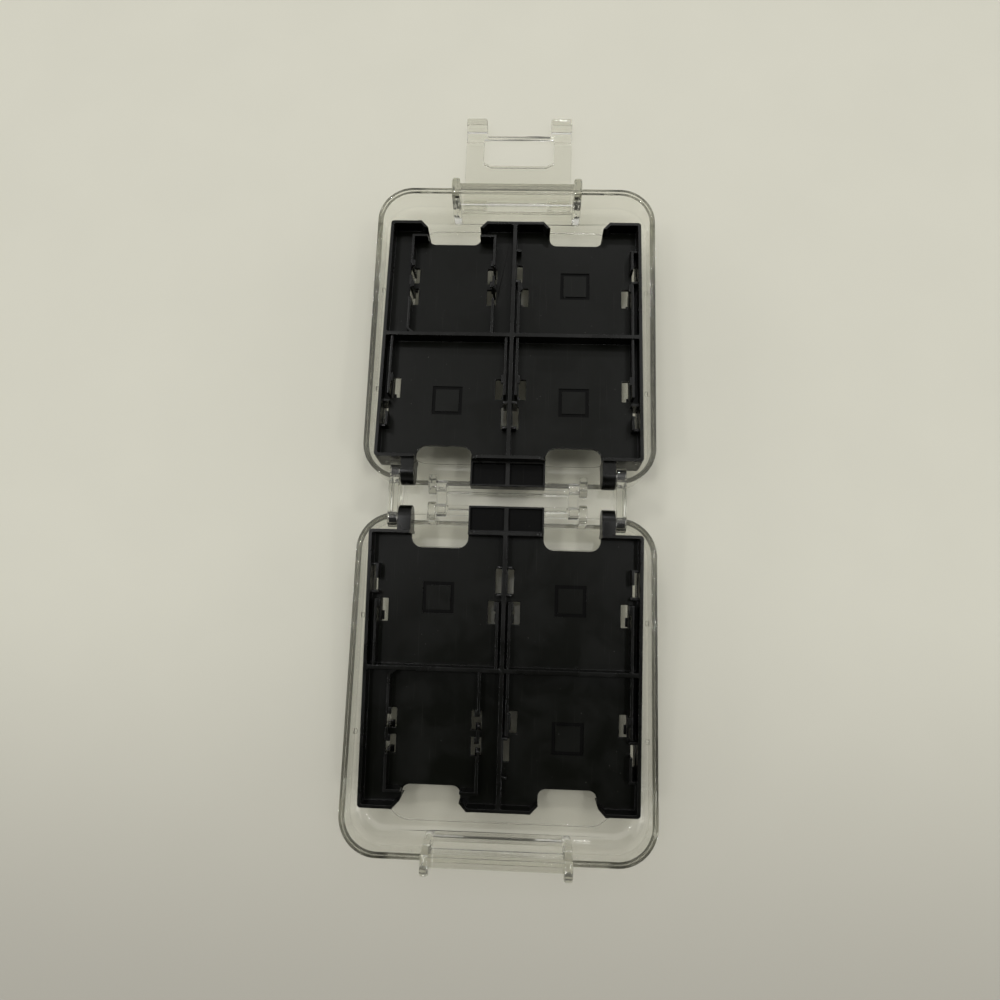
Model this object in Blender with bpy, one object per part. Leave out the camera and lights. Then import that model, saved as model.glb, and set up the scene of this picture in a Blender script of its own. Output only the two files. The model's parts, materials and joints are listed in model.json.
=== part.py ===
"""Game card case, opened flat on a table.

Two clear shells are hinged to a narrow clear spine. Two black card trays, with
pockets on both faces, turn like pages on the ends of the spine. A clear snap
latch turns on the upper shell and hooks the keeper bar of the lower shell.

Metres, +Z up. The lower shell's rest panel is centred on the origin, its hinge
side faces +Y. Each piece is drawn in the hinge frame: x along the hinge, y away
from the line halfway between the two shells, z up from the table.
"""
import math

import bmesh
import bpy
from mathutils import Matrix, Vector

MM = 0.001

# Shells
SHELL_LENGTH = 94.7 * MM
SHELL_DEPTH = 15.5 * MM
SHELL_WALL = 1.5 * MM
SHELL_CORNER_RADIUS = 11.0 * MM
SHELL_EDGE_RADIUS = 6.0 * MM
PANEL_STEP = 0.4 * MM
PANEL_INSET_X = 8.6 * MM
PANEL_INSET_Y = 8.0 * MM
PANEL_CORNER_RADIUS = 5.0 * MM
LIP_WIDTH = 0.7 * MM
LIP_DEPTH = 0.8 * MM
SILL_HEIGHT = 4.4 * MM
SHELL_TO_HINGE_LINE = 5.1 * MM

# Shell hinges
CLOSED_RIM_GAP = 0.4 * MM
AXIS_BELOW_RIM = 3.1 * MM
EYE_RADIUS = 2.2 * MM
HINGE_PIN_RADIUS = 1.2 * MM
SHELL_LUG_PAST_NOTCH_CENTRE = 2.0 * MM
SHELL_LUG_THICKNESS = 2.4 * MM
SHELL_LUG_FRONT = 4.9 * MM
SHELL_LUG_TOP = 14.6 * MM

# Spine
SPINE_PLATE_HALF_WIDTH = 4.5 * MM
SPINE_PLATE_BOTTOM = 8.6 * MM
SPINE_PLATE_THICKNESS = 1.2 * MM
SPINE_BOSS_THICKNESS = 2.8 * MM
SPINE_BAR_HALF_WIDTH = 3.2 * MM
SPINE_BAR_RISE = 0.5 * MM
SPINE_BAR_THICKNESS = 1.3 * MM
ARM_THICKNESS = 2.9 * MM
ARM_END_RADIUS = 2.7 * MM

# Card trays
TRAY_THICKNESS = 10.0 * MM
TRAY_START = 3.5 * MM
TRAY_SIDE_ROOM = 2.95 * MM
TRAY_END_ROOM = 12.3 * MM
TRAY_WALL = 1.0 * MM
TRAY_FLOOR = 1.2 * MM
TRAY_RIB = 1.2 * MM
TRAY_CORNER_RADIUS = 1.0 * MM
DIVIDER_Y = 42.3 * MM
TRAY_AXIS_OFFSET = 6.8 * MM
TRAY_AXIS_ABOVE_RIM = 0.6 * MM
UPPER_TRAY_TILT = math.radians(3.0)
LOWER_TRAY_TILT = math.radians(5.6)
TRAY_PIN_RADIUS = 1.35 * MM
TRAY_LUG_RADIUS = 3.8 * MM
TRAY_LUG_WIDTH = 3.9 * MM
TAB_LENGTH = 4.0 * MM
TAB_THICKNESS = 4.0 * MM
TAB_WALL = 0.8 * MM

# Thumb notches of the trays
NOTCH_PAST_POCKET_CENTRE = 0.15 * MM
NOTCH_WIDTH = 16.4 * MM
NOTCH_CORNER_RADIUS = 3.0 * MM
NOTCH_FREE_DEPTH = 7.6 * MM
NOTCH_HINGE_DEPTH = 7.4 * MM
NOTCH_FLARE = 2.1 * MM
NOTCH_FLARE_LENGTH = 2.4 * MM

# Card pockets: the wide pockets take a 33 mm card, the narrow one a 24 mm card
WIDE_CARD_WIDTH = 33.0 * MM
NARROW_CARD_WIDTH = 24.0 * MM
CARD_CLEARANCE = 0.35 * MM
INNER_CARD_GAP = 1.5 * MM
OUTER_CARD_GAP = 2.2 * MM
POCKET_RIB = 0.8 * MM
POCKET_RIB_BELOW_RIM = 0.5 * MM
NARROW_RIB_END_ROOM = 4.4 * MM
CLIP_OVERHANG = 1.1 * MM
CLIP_LENGTH = 3.0 * MM
CLIP_THICKNESS = 0.8 * MM
CLIP_BELOW_RIB = 0.15 * MM
STOP_HEIGHT = 3.2 * MM
STOP_THICKNESS = 0.8 * MM
SLOT_WIDTH = 2.2 * MM
OUTER_SLOT_WIDTH = 1.8 * MM
OUTER_SLOT_PAST_CARD = 0.85 * MM
FREE_INNER_SLOT = (DIVIDER_Y + 9.7 * MM, DIVIDER_Y + 15.7 * MM)
FREE_OUTER_SLOT = (DIVIDER_Y + 18.1 * MM, DIVIDER_Y + 24.7 * MM)
HINGE_INNER_SLOT = (DIVIDER_Y - 19.1 * MM, DIVIDER_Y - 12.6 * MM)
HINGE_OUTER_SLOT = (DIVIDER_Y - 28.3 * MM, DIVIDER_Y - 21.3 * MM)
NARROW_SLOTS = ((DIVIDER_Y + 9.7 * MM, DIVIDER_Y + 15.0 * MM),
                (DIVIDER_Y + 16.4 * MM, DIVIDER_Y + 22.2 * MM))
MARK_SIZE = 8.0 * MM
MARK_GROOVE = 0.7 * MM
MARK_DEPTH = 0.25 * MM
FREE_MARK_Y = DIVIDER_Y + 17.0 * MM
HINGE_MARK_Y = DIVIDER_Y - 20.3 * MM

# Latch bay of a shell
BAY_HALF_WIDTH = 18.2 * MM
EAR_THICKNESS = 2.55 * MM
EAR_PAST_BAR = 1.9 * MM
EAR_CORNER_RADIUS = 1.6 * MM
BAY_FRONT_STEP = 1.8 * MM
CHANNEL_HEIGHT = 7.0 * MM
CHANNEL_DEPTH = 4.4 * MM
BAR_REACH = 2.5 * MM
BAR_HEIGHT = 3.1 * MM
BAR_RADIUS = 1.25 * MM

# Latch
LATCH_SIDE_GAP = 0.4 * MM
LATCH_THICKNESS = 2.6 * MM
CLIP_WALL = 1.1 * MM
CLIP_WIDTH = 7.7 * MM
CLIP_MOUTH = 2.0 * MM
WINDOW_WIDTH = 23.7 * MM
WINDOW_START = 14.2 * MM
WINDOW_CHAMFER = 2.6 * MM
LEG_WIDTH = 7.0 * MM
CROSSBAR_WIDTH = 1.2 * MM
HOOK_LENGTH = 3.4 * MM
HOOK_RISE = 2.4 * MM
SEAT_CLEARANCE = 0.35 * MM
GROOVE_SPAN = 4.2 * MM

# Detent nubs inside the shells
NUB_RADIUS = 0.8 * MM
NUB_RISE = 0.9 * MM
NUB_HEIGHT = 9.0 * MM
NUB_PLACES = (34.8 * MM, 67.8 * MM)

# Running clearance of pins, arms and lugs
CLEARANCE = 0.3 * MM
# Overlap of two bodies that are joined, and overshoot of a cutter
BITE = 0.5 * MM

# Sizes and places worked out from the sizes above
WIDE_HALF = WIDE_CARD_WIDTH / 2 + CARD_CLEARANCE
NARROW_HALF = NARROW_CARD_WIDTH / 2 + CARD_CLEARANCE
POCKET_CENTRE = TRAY_RIB / 2 + INNER_CARD_GAP + WIDE_HALF
TRAY_WIDTH = 2 * (POCKET_CENTRE + WIDE_HALF + OUTER_CARD_GAP + TRAY_WALL)
SHELL_WIDTH = TRAY_WIDTH + 2 * (TRAY_SIDE_ROOM + SHELL_WALL)
NOTCH_CENTRE = POCKET_CENTRE + NOTCH_PAST_POCKET_CENTRE
SHELL_LUG_INNER = NOTCH_CENTRE + SHELL_LUG_PAST_NOTCH_CENTRE
HINGE_LINE_Y = SHELL_TO_HINGE_LINE + SHELL_LENGTH / 2
SHELL_END = SHELL_TO_HINGE_LINE + SHELL_LENGTH
AXIS_Y = AXIS_BELOW_RIM + CLOSED_RIM_GAP / 2
AXIS_Z = SHELL_DEPTH - AXIS_BELOW_RIM
PIN_Y = TRAY_AXIS_OFFSET
PIN_Z = SHELL_DEPTH + TRAY_AXIS_ABOVE_RIM
TRAY_END = SHELL_END - PIN_Y - TRAY_END_ROOM
NARROW_POCKET_TOP = TRAY_END - NARROW_RIB_END_ROOM
OUTER_SLOT_OFFSET = WIDE_HALF + OUTER_SLOT_PAST_CARD
FLOOR_Z = PANEL_STEP + SHELL_WALL
PLATE_TOP = SPINE_PLATE_BOTTOM + SPINE_PLATE_THICKNESS
LUG_OUTER = SHELL_LUG_INNER + SHELL_LUG_THICKNESS
BOSS_OUTER = SHELL_LUG_INNER - CLEARANCE
BOSS_INNER = BOSS_OUTER - SPINE_BOSS_THICKNESS
TRAY_LUG_INNER = NOTCH_CENTRE + NOTCH_WIDTH / 2
TRAY_LUG_OUTER = TRAY_LUG_INNER + TRAY_LUG_WIDTH
ARM_INNER = TRAY_LUG_OUTER + CLEARANCE
ARM_OUTER = ARM_INNER + ARM_THICKNESS
SLOT_EDGE = ARM_OUTER + CLEARANCE
BAR_Y = SHELL_END + BAR_REACH
EAR_REACH = BAR_REACH + EAR_PAST_BAR
LATCH_WIDTH = 2 * (BAY_HALF_WIDTH - LATCH_SIDE_GAP)
LATCH_BORE = BAR_RADIUS + CLEARANCE
LATCH_BARREL = LATCH_BORE + CLIP_WALL
CLOSED_BAR_DISTANCE = 2 * (SHELL_DEPTH - BAR_HEIGHT) + CLOSED_RIM_GAP
LATCH_BOTTOM = BAR_HEIGHT - LATCH_BARREL
POCKET_RIB_TOP = TRAY_THICKNESS / 2 - POCKET_RIB_BELOW_RIM


def clear_scene():
    for existing in list(bpy.data.objects):
        bpy.data.objects.remove(existing, do_unlink=True)


def make_collection(name):
    collection = bpy.data.collections.new(name)
    bpy.context.scene.collection.children.link(collection)
    return collection


def make_material(name, color, roughness, transmission=0.0):
    material = bpy.data.materials.new(name)
    material.use_nodes = True
    shader = material.node_tree.nodes["Principled BSDF"]
    shader.inputs["Base Color"].default_value = color
    shader.inputs["Metallic"].default_value = 0.0
    shader.inputs["Roughness"].default_value = roughness
    shader.inputs["Transmission Weight"].default_value = transmission
    return material


def object_from(bm, name):
    """Turn a bmesh into an object that is in no collection yet."""
    bmesh.ops.recalc_face_normals(bm, faces=bm.faces)
    if bm.calc_volume(signed=True) < 0.0:
        bmesh.ops.reverse_faces(bm, faces=bm.faces)
    mesh = bpy.data.meshes.new(name)
    bm.to_mesh(mesh)
    bm.free()
    return bpy.data.objects.new(name, mesh)


def add_block(bm, low, high):
    """Add a box with the given lowest and highest corners to a bmesh."""
    low, high = Vector(low), Vector(high)
    size = high - low
    matrix = Matrix.Translation((low + high) / 2) @ Matrix.Diagonal((*size, 1.0))
    return bmesh.ops.create_cube(bm, size=1.0, matrix=matrix)["verts"]


def blocks(name, corners):
    """One object of several boxes that don't touch each other."""
    bm = bmesh.new()
    for low, high in corners:
        add_block(bm, low, high)
    return object_from(bm, name)


def rod(name, spans, y, z, radius, segments=24):
    """Round rods along X, one for each (start, end), all about one axis."""
    bm = bmesh.new()
    turn = Matrix.Rotation(math.pi / 2, 4, "Y")
    for start, end in spans:
        place = Matrix.Translation(((start + end) / 2, y, z))
        bmesh.ops.create_cone(
            bm, cap_ends=True, segments=segments, radius1=radius, radius2=radius,
            depth=end - start, matrix=place @ turn)
    return object_from(bm, name)


def rounded_block(name, low, high, corner_radius, corner_segments=8,
                  bottom_radius=0.0, bottom_segments=4):
    """A box with rounded upright edges and, if asked, a rounded bottom edge."""
    bm = bmesh.new()
    add_block(bm, low, high)
    upright = [edge for edge in bm.edges
               if abs(edge.verts[0].co.z - edge.verts[1].co.z) > BITE / 10]
    bmesh.ops.bevel(bm, geom=upright, offset=corner_radius, offset_type="OFFSET",
                    segments=corner_segments, profile=0.5, affect="EDGES")
    if bottom_radius > 0.0:
        bottom = [edge for edge in bm.edges
                  if all(abs(vert.co.z - low[2]) < BITE / 10 for vert in edge.verts)]
        bmesh.ops.bevel(bm, geom=bottom, offset=bottom_radius, offset_type="OFFSET",
                        segments=bottom_segments, profile=0.5, affect="EDGES")
    return object_from(bm, name)


def arc(centre, radius, start, end, steps):
    """Points of an arc in degrees, both ends included."""
    angles = [math.radians(start + (end - start) * i / steps) for i in range(steps + 1)]
    return [(centre[0] + radius * math.cos(a), centre[1] + radius * math.sin(a))
            for a in angles]


def plate(name, outline, low, high, axis="Z"):
    """A flat outline as a filled 2D curve, given thickness from low to high.

    The outline lies in XY for axis Z, and in YZ for axis X.
    """
    curve = bpy.data.curves.new(name, "CURVE")
    curve.dimensions = "2D"
    curve.fill_mode = "BOTH"
    curve.extrude = (high - low) / 2
    spline = curve.splines.new("POLY")
    spline.points.add(len(outline) - 1)
    for point, (u, v) in zip(spline.points, outline):
        point.co = (u, v, 0.0, 1.0)
    spline.use_cyclic_u = True
    drawn = bpy.data.objects.new(name, curve)
    bpy.context.scene.collection.objects.link(drawn)
    depsgraph = bpy.context.evaluated_depsgraph_get()
    mesh = bpy.data.meshes.new_from_object(drawn.evaluated_get(depsgraph))
    bpy.data.objects.remove(drawn, do_unlink=True)
    bm = bmesh.new()
    bm.from_mesh(mesh)
    bpy.data.meshes.remove(mesh)
    bmesh.ops.remove_doubles(bm, verts=bm.verts, dist=0.001 * MM)
    bm.transform(Matrix.Translation((0.0, 0.0, (low + high) / 2)))
    if axis == "X":
        bm.transform(Matrix(((0, 0, 1, 0), (1, 0, 0, 0), (0, 1, 0, 0), (0, 0, 0, 1))))
    return object_from(bm, name)


def boolean(target, tool, operation):
    """Join or cut target with tool, which becomes a hidden cutter under target."""
    cutters.objects.link(tool)
    tool.parent = target
    tool.hide_render = True
    tool.display_type = "WIRE"
    modifier = target.modifiers.new(tool.name, "BOOLEAN")
    modifier.operation = operation
    modifier.object = tool
    modifier.solver = "EXACT"


def join(target, tool):
    boolean(target, tool, "UNION")


def cut(target, tool):
    boolean(target, tool, "DIFFERENCE")


def both_sides(low, high):
    """The same box on the left and on the right of the middle plane."""
    left = ((-high[0], low[1], low[2]), (-low[0], high[1], high[2]))
    return [left, (low, high)]


def both_spans(start, end):
    return [(-end, -start), (start, end)]


def finish_part(part, material, parent=None, location=(0, 0, 0), turn_x=0.0, turn_z=0.0):
    parts.objects.link(part)
    part.data.materials.append(material)
    part.data.shade_smooth()
    part.data.set_sharp_from_angle(angle=math.radians(30))
    part.parent = parent
    part.location = location
    part.rotation_euler = (turn_x, 0.0, turn_z)


def add_axis(name, y, z, parent=None):
    """An empty on a joint's axis, placed in the hinge frame."""
    empty = bpy.data.objects.new(name, None)
    empty.empty_display_size = 5 * MM
    parts.objects.link(empty)
    centre = Vector((0.0, HINGE_LINE_Y + y, z))
    if parent is not None:
        empty.parent = parent
        centre = centre - axis_places[parent.name]
        axis_places[name] = centre + axis_places[parent.name]
    else:
        axis_places[name] = centre.copy()
    empty.location = centre
    return empty


def from_axis(axis):
    """Place of the hinge frame's origin, seen from an axis empty."""
    return Vector((0.0, HINGE_LINE_Y, 0.0)) - axis_places[axis.name]


def shell_cavity(name):
    """The hollow of a shell, short of the latch bay's channel."""
    inner = SHELL_WALL
    half = SHELL_WIDTH / 2 - inner
    cavity = rounded_block(
        name,
        (-half, SHELL_TO_HINGE_LINE + inner, FLOOR_Z),
        (half, SHELL_END - inner, SHELL_DEPTH + BITE),
        SHELL_CORNER_RADIUS - inner, bottom_radius=SHELL_EDGE_RADIUS - inner)
    channel_wall = blocks(name + "_channel_wall", [(
        (-BAY_HALF_WIDTH - inner, SHELL_END - CHANNEL_DEPTH - inner, 0.0),
        (BAY_HALF_WIDTH + inner, SHELL_END, CHANNEL_HEIGHT + inner))])
    cut(cavity, channel_wall)
    return cavity


def add_hinge_side(shell, name):
    """Sill, lugs and stub pins on the hinge side of a shell."""
    cut(shell, blocks(name + "_window", [(
        (-SLOT_EDGE, SHELL_TO_HINGE_LINE - BITE, SILL_HEIGHT),
        (SLOT_EDGE, SHELL_TO_HINGE_LINE + SHELL_WALL + 2 * BITE, SHELL_DEPTH + BITE))]))
    back = SHELL_TO_HINGE_LINE + SHELL_WALL + CLEARANCE
    outline = [(SHELL_LUG_FRONT, FLOOR_Z + BITE), (back, FLOOR_Z + BITE), (back, SHELL_LUG_TOP)]
    outline += arc((AXIS_Y, AXIS_Z), EYE_RADIUS, 90, 270, 10)
    outline += [(SHELL_LUG_FRONT, AXIS_Z - EYE_RADIUS)]
    for side, label in ((-1, "left"), (1, "right")):
        span = sorted((side * SHELL_LUG_INNER, side * LUG_OUTER))
        join(shell, plate(name + "_lug_" + label, outline, *span, axis="X"))
    pin_span = both_spans(BOSS_INNER + CLEARANCE, SHELL_LUG_INNER + BITE)
    join(shell, rod(name + "_hinge_pins", pin_span, AXIS_Y, AXIS_Z, HINGE_PIN_RADIUS))


def add_latch_bay(shell, name):
    """Front step, ears and bar. The channel below the step is open underneath."""
    bay = BAY_HALF_WIDTH
    join(shell, blocks(name + "_bay_front", [(
        (-bay - BITE, SHELL_END - SHELL_WALL, CHANNEL_HEIGHT),
        (bay + BITE, SHELL_END + BAY_FRONT_STEP, SHELL_DEPTH))]))
    ear_end = SHELL_END + EAR_REACH
    ear_start = SHELL_END - CHANNEL_DEPTH - SHELL_WALL
    r = EAR_CORNER_RADIUS
    outline = [(ear_start, PANEL_STEP), (ear_end - r, PANEL_STEP)]
    outline += arc((ear_end - r, PANEL_STEP + r), r, -90, 0, 5)
    outline += arc((ear_end - r, SHELL_DEPTH - r), r, 0, 90, 5)
    outline += [(SHELL_END - SHELL_WALL, SHELL_DEPTH), (ear_start, SHELL_EDGE_RADIUS)]
    for side, label in ((-1, "left"), (1, "right")):
        span = sorted((side * bay, side * (bay + EAR_THICKNESS)))
        join(shell, plate(name + "_ear_" + label, outline, *span, axis="X"))


def build_shell(name):
    half = SHELL_WIDTH / 2
    shell = rounded_block(
        name,
        (-half, SHELL_TO_HINGE_LINE, PANEL_STEP), (half, SHELL_END, SHELL_DEPTH),
        SHELL_CORNER_RADIUS, bottom_radius=SHELL_EDGE_RADIUS)
    join(shell, rounded_block(
        name + "_panel",
        (-half + PANEL_INSET_X, SHELL_TO_HINGE_LINE + PANEL_INSET_Y, 0.0),
        (half - PANEL_INSET_X, SHELL_END - PANEL_INSET_Y, SHELL_WALL),
        PANEL_CORNER_RADIUS, corner_segments=5))
    add_latch_bay(shell, name)
    channel = (
        (-BAY_HALF_WIDTH, SHELL_END - CHANNEL_DEPTH, -BITE),
        (BAY_HALF_WIDTH, SHELL_END + BAY_FRONT_STEP + BITE, CHANNEL_HEIGHT))
    cut(shell, blocks(name + "_channel", [channel]))
    cut(shell, shell_cavity(name + "_cavity"))
    lip = SHELL_WALL - LIP_WIDTH
    cut(shell, rounded_block(
        name + "_lip",
        (-half + lip, SHELL_TO_HINGE_LINE + lip, SHELL_DEPTH - LIP_DEPTH),
        (half - lip, SHELL_END - lip, SHELL_DEPTH + BITE),
        SHELL_CORNER_RADIUS - lip))
    add_hinge_side(shell, name)
    bar_span = [(-BAY_HALF_WIDTH - BITE, BAY_HALF_WIDTH + BITE)]
    join(shell, rod(name + "_bar", bar_span, BAR_Y, BAR_HEIGHT, BAR_RADIUS))
    wall_inside = half - SHELL_WALL
    nub_span = both_spans(wall_inside - NUB_RISE, wall_inside + BITE)
    for i, y in enumerate(NUB_PLACES):
        join(shell, rod(name + "_nubs_" + str(i + 1), nub_span, y, NUB_HEIGHT, NUB_RADIUS, 10))
    return shell


def build_spine():
    """Back plate, two arms for the trays, and four bosses for the shells."""
    name = "spine"
    plate_end = ARM_OUTER - CLEARANCE
    spine = blocks(name, [(
        (-plate_end, -SPINE_PLATE_HALF_WIDTH, SPINE_PLATE_BOTTOM),
        (plate_end, SPINE_PLATE_HALF_WIDTH, PLATE_TOP))])
    r = ARM_END_RADIUS
    half = SPINE_PLATE_HALF_WIDTH - CLEARANCE
    foot = SPINE_PLATE_BOTTOM + SPINE_PLATE_THICKNESS / 2
    outline = [(-half, foot), (half, foot)]
    outline += arc((PIN_Y, PIN_Z), r, -45, 90, 10)
    outline += arc((-PIN_Y, PIN_Z), r, 90, 225, 10)
    boss = [(-half, foot), (half, foot), (half, AXIS_Z)]
    boss += arc((AXIS_Y, AXIS_Z), EYE_RADIUS, 0, 90, 6)
    boss += arc((-AXIS_Y, AXIS_Z), EYE_RADIUS, 90, 180, 6)
    boss += [(-half, AXIS_Z)]
    for side, label in ((-1, "left"), (1, "right")):
        arm_span = sorted((side * ARM_INNER, side * ARM_OUTER))
        join(spine, plate(name + "_arm_" + label, outline, *arm_span, axis="X"))
        boss_span = sorted((side * BOSS_INNER, side * BOSS_OUTER))
        join(spine, plate(name + "_boss_" + label, boss, *boss_span, axis="X"))
    bar_top = AXIS_Z + SPINE_BAR_RISE
    bar = [((-BOSS_INNER - BITE, y - SPINE_BAR_THICKNESS / 2, PLATE_TOP - BITE),
            (BOSS_INNER + BITE, y + SPINE_BAR_THICKNESS / 2, bar_top))
           for y in (-SPINE_BAR_HALF_WIDTH + SPINE_BAR_THICKNESS / 2,
                     SPINE_BAR_HALF_WIDTH - SPINE_BAR_THICKNESS / 2)]
    join(spine, blocks(name + "_bar", bar))
    for y, label in ((-1, "lower"), (1, "upper")):
        shell_bore = both_spans(BOSS_INNER - BITE, BOSS_OUTER + BITE)
        cut(spine, rod(name + "_bore_" + label, shell_bore, y * AXIS_Y, AXIS_Z,
                       HINGE_PIN_RADIUS + CLEARANCE))
        tray_bore = both_spans(ARM_INNER - BITE, ARM_OUTER + BITE)
        cut(spine, rod(name + "_tray_bore_" + label, tray_bore, y * PIN_Y, PIN_Z,
                       TRAY_PIN_RADIUS + CLEARANCE))
    return spine


def notch_outline(centre, base, mouth, flare=0.0):
    """Outline of a thumb notch from its round-cornered base to its mouth."""
    half, r = NOTCH_WIDTH / 2, NOTCH_CORNER_RADIUS
    out = 1 if mouth > base else -1
    y = base + out * r
    corners = arc((centre - half + r, 0.0), r, 180, 270, 5)
    corners += arc((centre + half - r, 0.0), r, 270, 360, 5)
    outline = [(x, y + out * rise) for x, rise in corners]
    past = mouth + out * BITE
    if flare > 0.0:
        wide = half + flare
        neck = mouth - out * NOTCH_FLARE_LENGTH
        outline += [(centre + half, neck), (centre + wide, mouth), (centre + wide, past),
                    (centre - wide, past), (centre - wide, mouth), (centre - half, neck)]
    else:
        outline += [(centre + half, past), (centre - half, past)]
    return outline


def pocket_boxes():
    """The eight hollows of a tray, four on each face."""
    half = TRAY_WIDTH / 2 - TRAY_WALL
    rib = TRAY_RIB / 2
    rows = ((TRAY_START + TRAY_WALL, DIVIDER_Y - rib), (DIVIDER_Y + rib, TRAY_END - TRAY_WALL))
    boxes = []
    for y0, y1 in rows:
        for x0, x1 in ((-half, -rib), (rib, half)):
            for face in (-1, 1):
                z0, z1 = sorted((face * TRAY_FLOOR / 2, face * (TRAY_THICKNESS / 2 + BITE)))
                boxes.append(((x0, y0, z0), (x1, y1, z1)))
    return boxes


def wide_pockets():
    """Centre, direction and slots of the three pockets for 33 mm cards.

    The direction is 1 for a pocket at the free end and -1 at the hinge end.
    """
    return [(POCKET_CENTRE, 1, FREE_INNER_SLOT, FREE_OUTER_SLOT),
            (-POCKET_CENTRE, -1, HINGE_INNER_SLOT, HINGE_OUTER_SLOT),
            (POCKET_CENTRE, -1, HINGE_INNER_SLOT, HINGE_OUTER_SLOT)]


def slot_box(x, width, span):
    return ((x - width / 2, span[0], -TRAY_THICKNESS), (x + width / 2, span[1], TRAY_THICKNESS))


def tray_slots():
    """Through slots that the card clips are moulded over."""
    boxes = []
    inset = SLOT_WIDTH / 2 + CLEARANCE
    for side in (-1, 1):
        for centre, _, inner, outer in wide_pockets():
            boxes.append(slot_box(centre + side * (WIDE_HALF - inset), SLOT_WIDTH, inner))
            boxes.append(slot_box(centre + side * OUTER_SLOT_OFFSET, OUTER_SLOT_WIDTH, outer))
        for span in NARROW_SLOTS:
            boxes.append(slot_box(-POCKET_CENTRE + side * (NARROW_HALF - inset), SLOT_WIDTH, span))
    return boxes


def upright(x_a, x_b, y_a, y_b, height):
    """A rib that stands on both faces of the tray's floor."""
    x0, x1 = sorted((x_a, x_b))
    y0, y1 = sorted((y_a, y_b))
    return ((x0, y0, -height), (x1, y1, height))


def tray_ribs():
    """Low ribs beside the cards, from the divider to past the inner slots."""
    boxes = []
    for side in (-1, 1):
        for centre, way, inner, _ in wide_pockets():
            edge = centre + side * WIDE_HALF
            last = max(inner) + CLIP_THICKNESS if way > 0 else min(inner) - CLIP_THICKNESS
            boxes.append(upright(edge, edge + side * POCKET_RIB, DIVIDER_Y, last, POCKET_RIB_TOP))
        edge = -POCKET_CENTRE + side * NARROW_HALF
        boxes.append(upright(edge, edge + side * POCKET_RIB, DIVIDER_Y, NARROW_POCKET_TOP,
                             POCKET_RIB_TOP))
    return boxes


def tray_stops():
    """Short stops across the gap beside the cards, at both ends of the outer slots."""
    boxes = []
    outer_wall = TRAY_WIDTH / 2 - TRAY_WALL / 2
    for centre, _, _, outer in wide_pockets():
        for x_wall in (0.0, math.copysign(outer_wall, centre)):
            side = 1 if x_wall > centre else -1
            edge = centre + side * WIDE_HALF
            for y in (outer[0] - STOP_THICKNESS, outer[1]):
                boxes.append(upright(edge, x_wall, y, y + STOP_THICKNESS, STOP_HEIGHT))
    return boxes


def clip_nub(edge, side, y, face):
    """A nub on a rib that overhangs the card's edge on one face."""
    top = POCKET_RIB_TOP - CLIP_BELOW_RIB
    z0, z1 = sorted((face * (top - CLIP_THICKNESS), face * top))
    x0, x1 = sorted((edge - side * CLIP_OVERHANG, edge + side * POCKET_RIB / 2))
    return ((x0, y, z0), (x1, y + CLIP_LENGTH, z1))


def tray_nubs():
    boxes = []
    for side in (-1, 1):
        for face in (-1, 1):
            for centre, _, inner, _ in wide_pockets():
                y = inner[0] if face > 0 else inner[1] - CLIP_LENGTH
                boxes.append(clip_nub(centre + side * WIDE_HALF, side, y, face))
            span = NARROW_SLOTS[0] if face > 0 else NARROW_SLOTS[1]
            boxes.append(clip_nub(-POCKET_CENTRE + side * NARROW_HALF, side, span[0], face))
    return boxes


def mark(name, x, y, face):
    """A square groove in a pocket floor."""
    bm = bmesh.new()
    bmesh.ops.create_grid(bm, x_segments=3, y_segments=3, size=1.5)
    outer, inner = MARK_SIZE / 2, MARK_SIZE / 2 - MARK_GROOVE
    for vert in bm.verts:
        for i in range(2):
            place = vert.co[i]
            vert.co[i] = math.copysign(outer if abs(place) > 1.0 else inner, place)
    middle = [f for f in bm.faces if f.calc_center_median().length < inner / 2]
    bmesh.ops.delete(bm, geom=middle, context="FACES")
    raised = bmesh.ops.extrude_face_region(bm, geom=bm.faces[:])["geom"]
    lift = Vector((0.0, 0.0, MARK_DEPTH + BITE))
    bmesh.ops.translate(bm, vec=lift, verts=[g for g in raised if isinstance(g, bmesh.types.BMVert)])
    raise_up = Matrix.Translation((0.0, 0.0, TRAY_FLOOR / 2 - MARK_DEPTH))
    turn = Matrix.Rotation(math.pi if face < 0 else 0.0, 4, "X")
    bm.transform(Matrix.Translation((x, y, 0.0)) @ turn @ raise_up)
    return object_from(bm, name)


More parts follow.
